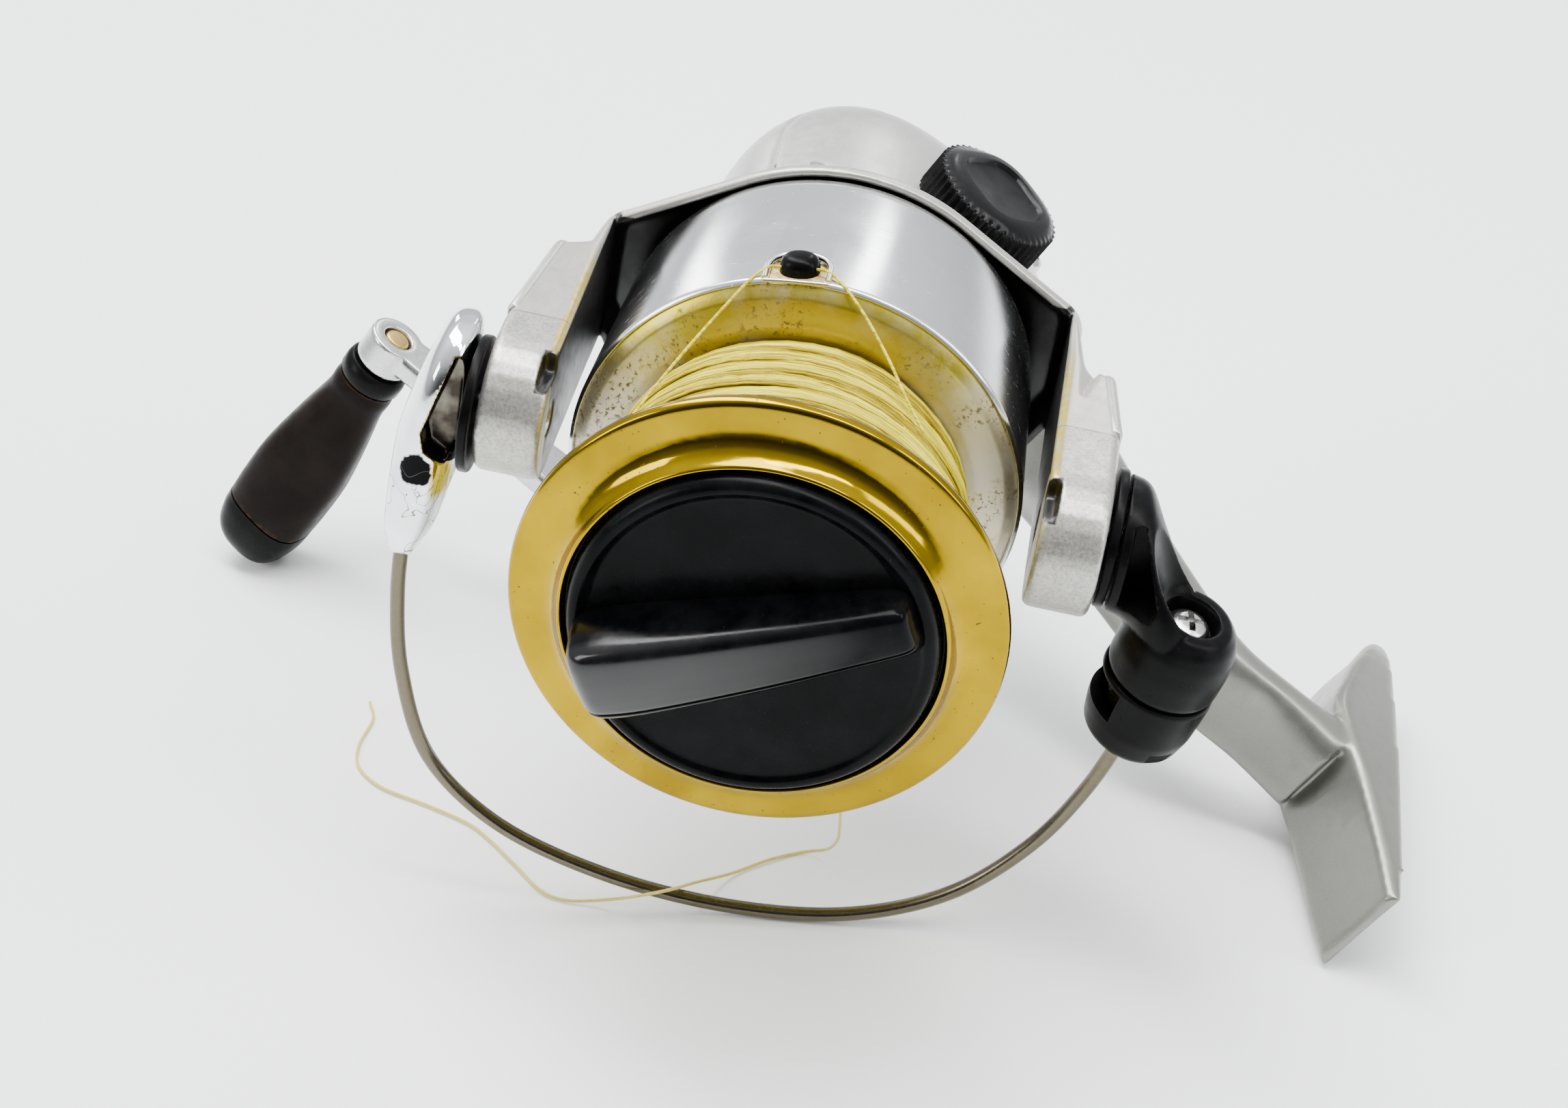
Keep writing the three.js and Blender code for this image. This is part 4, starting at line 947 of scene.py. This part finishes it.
def bail():
    wire = catmull([(w * cos(LEAN), 20 - w * sin(LEAN), s) for s, w in WIRE_POINTS], 14)
    build("bail_wire_rod", tube(wire, 1.0, 20), "bail", WIRE, "wire", ["bail_wire"], ROTOR, 60)

    # Chrome arm: hollow beside its washer, then a nose that narrows to the wire.
    rows = blended([
        (-16.9, 26, -43.6, 1.0, 1.2), (-16.4, 26, -43.9, 1.7, 3.4), (-15.2, 26, -44.3, 2.3, 5.6),
        (-12.5, 26, -44.8, 3.0, 7.9), (-8, 26, -45.5, 3.7, 9), (-2, 25, -46.3, 4.3, 8.2),
        (4, 22.8, -46.8, 4.1, 6.2), (10, 20.9, -47.4, 3.4, 4.1), (13.6, 20.0, -47.9, 2.4, 2.8),
        (15.2, 19.7, -48, 1.7, 1.9), (15.7, 19.7, -48, 1.15, 1.2),
    ], 6)
    rings = [oval((b, y, s), AZ, AY, hs, hy, 2.5, 64) for b, y, s, hs, hy in rows]
    tear = mesh_object("bail_arm_shell", loft(rings))
    boolean(tear, box((-20, 10, -41.9), (20, 40, -30)))
    hollow = [(-42.6, -14.6), (-43.7, -14.6), (-46.6, -4.4), (-46.0, -1.8), (-43.6, -0.2), (-42.6, -2.2)]
    boolean(tear, loft([[(b, y, s) for s, b in hollow] for y in (6, 20.4)]))
    remeshed(tear, 0.2, 7)

    def in_hollow(co):
        """1 on the walls of the hollow."""
        past = np.full(len(co), -1e9)
        for (s0, b0), (s1, b1) in zip(hollow, hollow[1:] + hollow[:1]):
            size = hypot(s1 - s0, b1 - b0)
            past = np.maximum(past, ((co[:, 2] - s0) * (b1 - b0) - (co[:, 0] - b0) * (s1 - s0)) / -size)
        return np.where((past < 0.22) & (co[:, 1] < 20.65), 1.0, 0.0).astype(np.float32)

    place(tear, "bail", CHROME, "chrome", ["bail_arm"], ROTOR, 80, in_hollow)

    stations = blended([
        (41.9, -7, 22, 8.7), (44.6, -6.4, 21.2, 8.6), (47.2, -3.6, 18.8, 7.9), (50, -0.4, 17, 7.1),
        (52.6, 1.2, 16.4, 5.8),
    ], 7)
    rings = [oval((b, y, s), AX, AY, r, r, 2.05, 72) for s, b, y, r in stations]
    body = mesh_object("roller_arm_shell", loft(rings))
    bulb = on_roller(turned([
        (0, -4), (4.6, -4.05), (5.3, -3.8), (6.5, -2.5), (7.2, -0.6), (7.5, 2.4), (7.45, 5.8), (7.1, 6.6),
        (0, 6.6),
    ], 120, 0.6, 4))
    boolean(body, bulb, "UNION")
    socket = lathe([(0, -20), (13, -20), (4.7, -4.9), (3.6, -3.9), (3.5, -1.3), (0, -1.3)], 96)
    boolean(body, on_roller(socket))
    web = [(43.2, -13.2), (44.3, -13.6), (47.9, -5.0), (47.2, -3.2), (43.2, -2.4)]
    boolean(body, loft([[(b, y, s) for s, b in web] for y in (4, 19.4)]))
    trim = lathe([(54.2, 21.6), (70, 21.6), (70, 30), (54.2, 30)], 200)
    boolean(body, trim)
    remeshed(body, 0.22, 6)
    place(body, "bail", SATIN_BLACK, "black_plastic", ["roller_arm"], ROTOR, 70)

    holder = mesh_object("wire_holder_shell", on_roller(turned([
        (0, 6.9), (7.3, 6.9), (7.5, 7.3), (7.45, 10), (7.3, 13.4), (6.6, 16.6), (5.2, 18.0), (3.4, 18.4),
        (0, 18.4),
    ], 140, 0.6, 4)))
    boolean(holder, on_roller(box((5.4, 14.6, 1.2), (9, 22, 9))))
    boolean(holder, on_roller(disc(5.7, 6, 13)))
    boolean(holder, on_roller(box((-5, 7.7, -12), (5, 12.4, -2))))
    boolean(holder, trim)
    place(holder, "bail", SATIN_BLACK, "black_plastic", ["wire_holder"], ROTOR)
    ring = on_roller(turned([
        (3.2, 7.2), (5.1, 7.2), (5.3, 8.0), (4.6, 10), (5.3, 11.8), (5.1, 12.5), (3.2, 12.5),
    ], 120, 0.4, 4))
    build("line_roller_ring", ring, "roller", GLOSS_BLACK, "black_gloss", ["line_roller"], ROTOR)

    screw = mesh_object("roller_screw_head", on_roller(turned([
        (0, -3.4), (1.4, -3.3), (2.3, -2.9), (2.8, -2.3), (2.75, -1.5), (1.5, -1.5), (1.5, 13.7), (0, 13.7),
    ], 96, 0.25, 4)))
    for size in ((1.75, 0.42), (0.42, 1.75)):
        boolean(screw, on_roller(box((-size[0], -5, -size[1]), (size[0], -2.35, size[1]))))
    place(screw, "bail", SCREW, "steel", ["roller_screw"], ROTOR)
    pin = turned([(0, 33.5), (3.3, 33.5), (3.3, 35), (2, 35), (2, 46), (0, 46)], 64, 0.3)
    for name, k in (("pivot_screw_bail", -1), ("pivot_screw_roller", 1)):
        build(name + "_turned", along_z(pin, PIVOT_B, PIVOT_Y, k), "bail", SCREW, "steel", [name], ROTOR)


# ---------------------------------------------------------------- body, stem and foot
BODY_RINGS = [
    (71.2, 18.8, 23, 3), (76, 19.6, 25.5, 4), (86, 19.8, 26.5, 4.5), (96, 19.2, 24.5, 3),
    (104, 17.4, 20, 1.5), (109, 13.6, 15, 1.1), (112, 8.8, 9.6, 0.7), (113.4, 4.2, 4.6, 0.5),
]
STEM = [
    (87, 22, 11, 12), (78.5, 34.5, 6.5, 9.5), (69, 45.5, 4.8, 8), (59, 56, 4, 7.2), (49.5, 67.5, 3.4, 7),
    (47, 78, 3.2, 7), (45, 87, 4.6, 7.3),
]
FOOT = [
    (16, 7.6, 93.8), (22, 8.0, 92.4), (30, 8.1, 90.6), (38, 8.1, 88.6), (44, 8.1, 86.5), (52, 7.9, 85),
    (62, 7.4, 87.6), (70, 6.8, 90.6), (75, 5.6, 92.8), (77.6, 3.8, 94.2),
]
COVER_SCREWS = [(77, -14, 16.2), (106, 9, 15.6), (95, 20.5, 15.4)]


def pod():
    return loft([oval((0, y, z), AX, AZ, hx, hz, 2.3, 96) for y, hx, hz, z in blended(BODY_RINGS, 6)])


def stem():
    rows = blended(STEM, 6)
    rings = []
    for i, (y, z, thick, wide) in enumerate(rows):
        a, b = rows[max(i - 1, 0)], rows[min(i + 1, len(rows) - 1)]
        t = Vector((0, b[0] - a[0], b[1] - a[1])).normalized()
        rings.append(oval((0, y, z), AX, t.cross(Vector(AX)), wide, thick, 3.2, 48))
    return loft(rings)


def foot():
    rings = []
    for y, half, low in blended(FOOT, 5):
        half, low = max(half, 2.5), min(low, 95)
        ring = []
        for k in range(25):  # underside, a shallow saddle
            x = half * (-1 + 2 * k / 24)
            edge = max(0.0, abs(x) - (half - 1.6)) / 1.6
            ring.append((x, y, low + 1.2 * edge ** 2 + 0.5 * (1 - (x / half) ** 2)))
        for k in range(25):  # seat, hollowed a little to fit the rod
            x = half * (1 - 2 * k / 24)
            ring.append((x, y, 96.0 - 0.35 * (1 - (x / half) ** 2)))
        rings.append(ring)
    return loft(rings)


def body():
    shell = mesh_object("body_casting", pod())
    boolean(shell, box((-40, 60, -60), (-9.75, 130, 60)))
    boolean(shell, stem(), "UNION")
    boolean(shell, foot(), "UNION")
    nose = lathe([(0, 55), (14.8, 55), (14.8, 64.5), (21.4, 64.8), (21.4, 72.5), (0, 72.5)], 96)
    boolean(shell, nose, "UNION")
    for radius, low, high in ((5.3, 50, 80), (12.7, 50, 61.3), (9.8, 61, 66.4)):
        boolean(shell, disc(radius, low, high))
    boolean(shell, along_x(disc(5.8, 5, 30), HANDLE_Y, HANDLE_Z))
    boolean(shell, along_x(disc(7.8, 13.8, 17.4), HANDLE_Y, HANDLE_Z))
    for low in (13 - 3.8, 13 + 2.3):
        ends = [(103, -18.6, 2.0), (103, -6, 2.6)]
        boolean(shell, slab(ends, edged(low, low + 1.5, 0.3), lambda u, v, w: (w, u, v), 40), "UNION")
    remeshed(shell, 0.5, 6)
    place(shell, "frame", BODY_PAINT, "silver_paint", ["body_housing"], sharp=60)
    cover = mesh_object("side_cover_shell", pod())
    boolean(cover, box((-10.05, 60, -60), (60, 130, 60)))
    boolean(cover, disc(21.8, 60, 72.4, 96))
    boolean(cover, along_x(disc(5.8, -30, -5), HANDLE_Y, HANDLE_Z))
    boolean(cover, box((-10.4, 66, 29.4), (0, 92, 40)))
    for y, z, x in COVER_SCREWS:
        boolean(cover, along_x(disc(2.8, -24, 1.9 - x, 40), y, z))
    remeshed(cover, 0.42, 4)
    place(cover, "frame", BODY_PAINT, "silver_paint", ["side_cover"], sharp=60)
    for i, (y, z, x) in enumerate(COVER_SCREWS):
        screw = mesh_object(f"cover_screw_{i + 1}_head", along_x(turned([
            (0, -x - 0.1), (1.5, -x), (2.4, 0.5 - x), (2.5, 1.6 - x), (1.3, 1.6 - x), (1.3, -6), (0, -6),
        ], 64, 0.25), y, z))
        for a, b in ((1.5, 0.25), (0.25, 1.5)):
            boolean(screw, along_x(box((-a, -x - 3, -b), (a, 0.75 - x, b)), y, z))
        place(screw, "frame", SCREW, "steel", [f"cover_screw_{i + 1}"])
    lever = slab([(103, -18.6, 1.65), (112, -16.6, 1.15)], edged(11, 15, 0.4), lambda u, v, w: (w, u, v), 48)
    pins = along_x(disc(0.8, 9.2, 16.8, 24), 103, -18.6)
    build("anti_reverse_thumb_lever", merged(lever, pins), "anti_reverse", SATIN_BLACK, "black_plastic",
          ["anti_reverse_lever"])


# ---------------------------------------------------------------- cap, crank and knob
def crank():
    ribs = 46

    def rib(r, y, t):
        """Ribs round the rim, and a raised ring on the face that is a soft square."""
        if y < -26.85:
            return r * (1 + 0.05 * cos(4 * t))
        deep = 1 if r > 9.0 and -26.5 < y < -20.6 else 0
        return r - deep * 0.5 * (0.5 - 0.5 * cos(ribs * t)) ** 0.6

    outline = [(0, -26.7), (5.4, -26.7), (6.0, -26.9), (6.4, -27.5), (7.5, -27.45), (8.5, -27.0)]
    outline += [(9.2, -26.55)] + [(9.85, -26.3 + 0.55 * k) for k in range(11)]
    outline += [(9.2, -20.4), (5.4, -20.0), (5.2, -17.4), (0, -17.4)]
    made = along_x(lathe(outline, ribs * 8, rib), HANDLE_Y, HANDLE_Z)
    build("screw_cap_ribbed", made, "handle", RIB_BLACK, "black_plastic", ["screw_cap"])

    reach = (CRANK_Y - HANDLE_Y, CRANK_Z - HANDLE_Z)
    plate = slab([(0, 0, 5.9), (*reach, 3.5)], edged(CRANK_X - 2, CRANK_X + 2, 1.1),
                 lambda u, v, w: (w, HANDLE_Y + u, HANDLE_Z + v), 96)
    shell = mesh_object("crank_arm_shell", plate)
    neck = [(0, 18.4), (5.2, 18.4), (5.2, 52), (5.8, 55.5), (5.8, 56), (0, 56)]
    boolean(shell, along_x(turned(neck, 96, 0.5), HANDLE_Y, HANDLE_Z), "UNION")
    boss = [(0, 55), (4.4, 55), (4.4, 60.4), (0, 60.4)]
    boolean(shell, along_x(turned(boss, 96, 0.5, 4), CRANK_Y, CRANK_Z), "UNION")
    boolean(shell, along_x(disc(2.3, 40, 80, 48), CRANK_Y, CRANK_Z))
    boolean(shell, along_x(disc(3.2, 15, 28.4), HANDLE_Y, HANDLE_Z))
    remeshed(shell, 0.3, 3)
    place(shell, "handle", CRANK_METAL, "silver_paint", ["crank_arm"], sharp=60)
    rivet = turned([
        (0, CRANK_X - 1.9), (1.6, CRANK_X - 1.9), (2.0, CRANK_X - 1.4), (2.0, 96), (0, 96),
    ], 64, 0.3, 3)
    build("knob_rivet_pin", along_x(rivet, CRANK_Y, CRANK_Z), "handle", RIVET, "brass", ["knob_rivet"])

    def at(x, hy, hz, power=2.4, turn=0.0):
        c, s = cos(turn), sin(turn)
        return oval((x, CRANK_Y, CRANK_Z), (0, c, s), (0, -s, c), hy, hz, power, 64)

    rows = blended([
        (64.4, 4.7, 4.7, 2.1), (66, 4.85, 4.9, 2.1), (69, 4.7, 4.9, 2.3), (76, 5.2, 6.1, 2.7),
        (84, 5.75, 7.1, 2.9), (91, 5.95, 7.1, 2.9), (95.3, 5.9, 6.9, 2.8),
    ], 6)
    grip = loft([at(x, hy, hz, p, 0.012 * (x - 64)) for x, hy, hz, p in rows])
    build("crank_grip", grip, "knob", GRIP_BLACK, "black_plastic", ["crank_knob"], sharp=60)
    collar = [(60.8, 4.5), (61.1, 4.85), (62.2, 5.05), (63.7, 5.05), (64.05, 4.8)]
    collar = loft([at(x, r, r, 2) for x, r in collar])
    build("crank_grip_collar", collar, "knob", SATIN_BLACK, "black_plastic", ["knob_collar"])
    rows = blended([
        (95.6, 5.9, 6.9, 2.8), (98, 5.85, 6.75, 2.8), (101, 5.3, 6.05, 2.7), (103.1, 4.2, 4.8, 2.5),
        (104, 2.6, 3.0, 2.2),
    ], 5)
    tip = loft([at(x, hy, hz, p, 0.372) for x, hy, hz, p in rows])
    build("crank_grip_tip", tip, "knob", GLOSS_BLACK, "black_gloss", ["knob_end_cap"])


# ---------------------------------------------------------------- loose end of the line
TAIL_LENGTH = 0.145
TAIL_RISE = 0.425  # height of the lying line's middle
GROUND = cad_box[0][2] * 1000 - ORIGIN.z * 1000 + TAIL_RISE
TAIL = [
    (9, 12, -24), (9, 12.2, -30), (8.8, 14, -38), (8.2, 18, -46.5), (7, 24, -54), (4.9, 28.4, -59.2),
    (1.6, 29.6, None), (-2.6, 27.4, None), (-7.6, 23.4, -60.9), (-11.6, 18.4, -58.8), (-14.9, 13.6, -56.7),
    (-19.5, 13.4, -58.2), (-24.3, 14.6, -60.4), (-29, 14.6, None), (-32.4, 15.6, None), (-37.9, 21.1, None),
    (-42.5, 25.8, None), (-46.1, 28.8, None), (-53, 32.1, None), (-61.1, 35.5, None), (-65.2, 39.6, None),
    (-66.4, 44.3, None), (-66, 51.2, None), (-67.5, 54.9, None),
]


def loose_braid():
    p = Paint("braid_loose", True, Sheen_Weight=0.25)
    fibre = p.noise(5.0, 3, 0.7)
    color = p.mix(p.step(fibre, 0.3, 0.72), (0.50, 0.39, 0.05), (0.80, 0.69, 0.18))
    return p.finish(color, 0.55, height=fibre, strength=0.35)


def tail():
    route = catmull([(x, y, GROUND if z is None else z) for x, y, z in TAIL], 8)
    path = [ROW @ p for p in route]
    cu = bpy.data.curves.new("line_tail_braid", "CURVE")
    cu.dimensions, cu.bevel_depth, cu.bevel_resolution, cu.use_fill_caps = "3D", 0.00045 / 2, 3, True
    spline = cu.splines.new("POLY")
    spline.points.add(len(path) - 1)
    for q, p in zip(spline.points, path):
        q.co = (*p, 1)
    cu.materials.append(loose_braid())
    ob = linked("line_tail_braid", cu)
    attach(ob, "frame")
    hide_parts("line_tail")
    length = sum((b - a).length for a, b in zip(path, path[1:]))
    assert abs(length - TAIL_LENGTH) < 0.003, length
    tuple(path[0])


# ---------------------------------------------------------------- pieces that keep their CAD shape
def carried_over():
    slots = {s["node"]: s["material_slot"] for s in frame["record"]["subparts"]}
    for name, ob in frame["nodes"].items():
        if ob.hide_render:
            continue
        ob.data.materials.clear()
        ob.data.materials.append(INNER.get(slots[name], INNER["steel"]))


# ---------------------------------------------------------------- room
def ground():
    me = bpy.data.meshes.new("floor")
    bm = bmesh.new()
    bmesh.ops.create_grid(bm, x_segments=2, y_segments=2, size=4.0)
    bm.to_mesh(me)
    bm.free()
    floor_ = linked("floor", me)
    floor_.location = (0, 0, cad_box[0][2])
    p = Paint("paper", True)
    cloud = p.noise(0.004, 2)
    me.materials.append(p.finish(p.mix(cloud, (0.91, 0.93, 0.935), (0.94, 0.955, 0.955)), 0.75))


def studio():
    """Light from all round: bright overhead, dim towards the photographer's side of the room."""
    world = bpy.data.worlds.new("studio")
    bpy.context.scene.world = world
    world.use_nodes = True
    t = world.node_tree
    back = next(n for n in t.nodes if n.type == "BACKGROUND")
    coord = t.nodes.new("ShaderNodeTexCoord")
    split = t.nodes.new("ShaderNodeSeparateXYZ")
    t.links.new(coord.outputs["Generated"], split.inputs[0])
    both = t.nodes.new("ShaderNodeMath")
    both.operation = "MULTIPLY"
    for i, (axis, *span) in enumerate((("Y", -0.95, 0.15, 0.13, 1.45), ("Z", 0.0, 0.9, 0.55, 1.25))):
        n = t.nodes.new("ShaderNodeMapRange")
        for k, v in zip(("From Min", "From Max", "To Min", "To Max"), span):
            n.inputs[k].default_value = v
        t.links.new(split.outputs[axis], n.inputs["Value"])
        t.links.new(n.outputs[0], both.inputs[i])
    t.links.new(both.outputs[0], back.inputs["Strength"])
    back.inputs["Color"].default_value = (0.97, 0.985, 1.0, 1)


AIM = Vector((0, 0, 0.05))
# name, place, size, power, colour
LIGHTS = [
    ("key", (-0.22, 0.25, 0.9), (0.35, 0.9), 16.0, (1, 1, 1)),
    ("fill", (0.30, -0.15, 0.95), (0.16, 0.7), 7.5, (1, 0.995, 0.98)),
    ("left", (-0.9, -0.45, 0.6), (0.4, 0.5), 6.0, (1, 0.99, 0.97)),
    ("right", (0.9, -0.2, 0.55), (0.35, 0.6), 5.0, (0.97, 0.985, 1)),
    ("back_right", (0.26, 1.1, 0.75), (0.11, 0.4), 1.8, (1, 1, 1)),
    ("back_left", (-0.64, 1.08, 0.42), (0.10, 0.35), 1.3, (1, 1, 1)),
]


def lights():
    for name, place_, size, power, color in LIGHTS:
        data = bpy.data.lights.new(name, "AREA")
        data.shape, data.size, data.size_y = "RECTANGLE", size[0], size[1]
        data.energy, data.color = power, color
        ob = linked(name, data)
        ob.location = place_
        ob.rotation_euler = (AIM - Vector(place_)).to_track_quat("-Z", "Y").to_euler()


def camera():
    forward = Vector((-0.1210, 0.820, -0.5597)).normalized()
    right = Vector((0.9896, 0.146, 0)).normalized()
    up = right.cross(forward)
    data = bpy.data.cameras.new("camera")
    data.lens, data.sensor_width, data.clip_start = 71.15, 36, 0.01
    ob = linked("camera", data)
    m = Matrix((right, up, -forward)).transposed().to_4x4()
    ob.matrix_world = Matrix.Translation(ORIGIN + Vector((0.0482, -0.3043, 0.2171))) @ m
    bpy.context.scene.camera = ob


camera()
tail()
ground()
studio()
lights()
spool()
winding()
drag_knob()
rotor()
bail()
body()
crank()
carried_over()
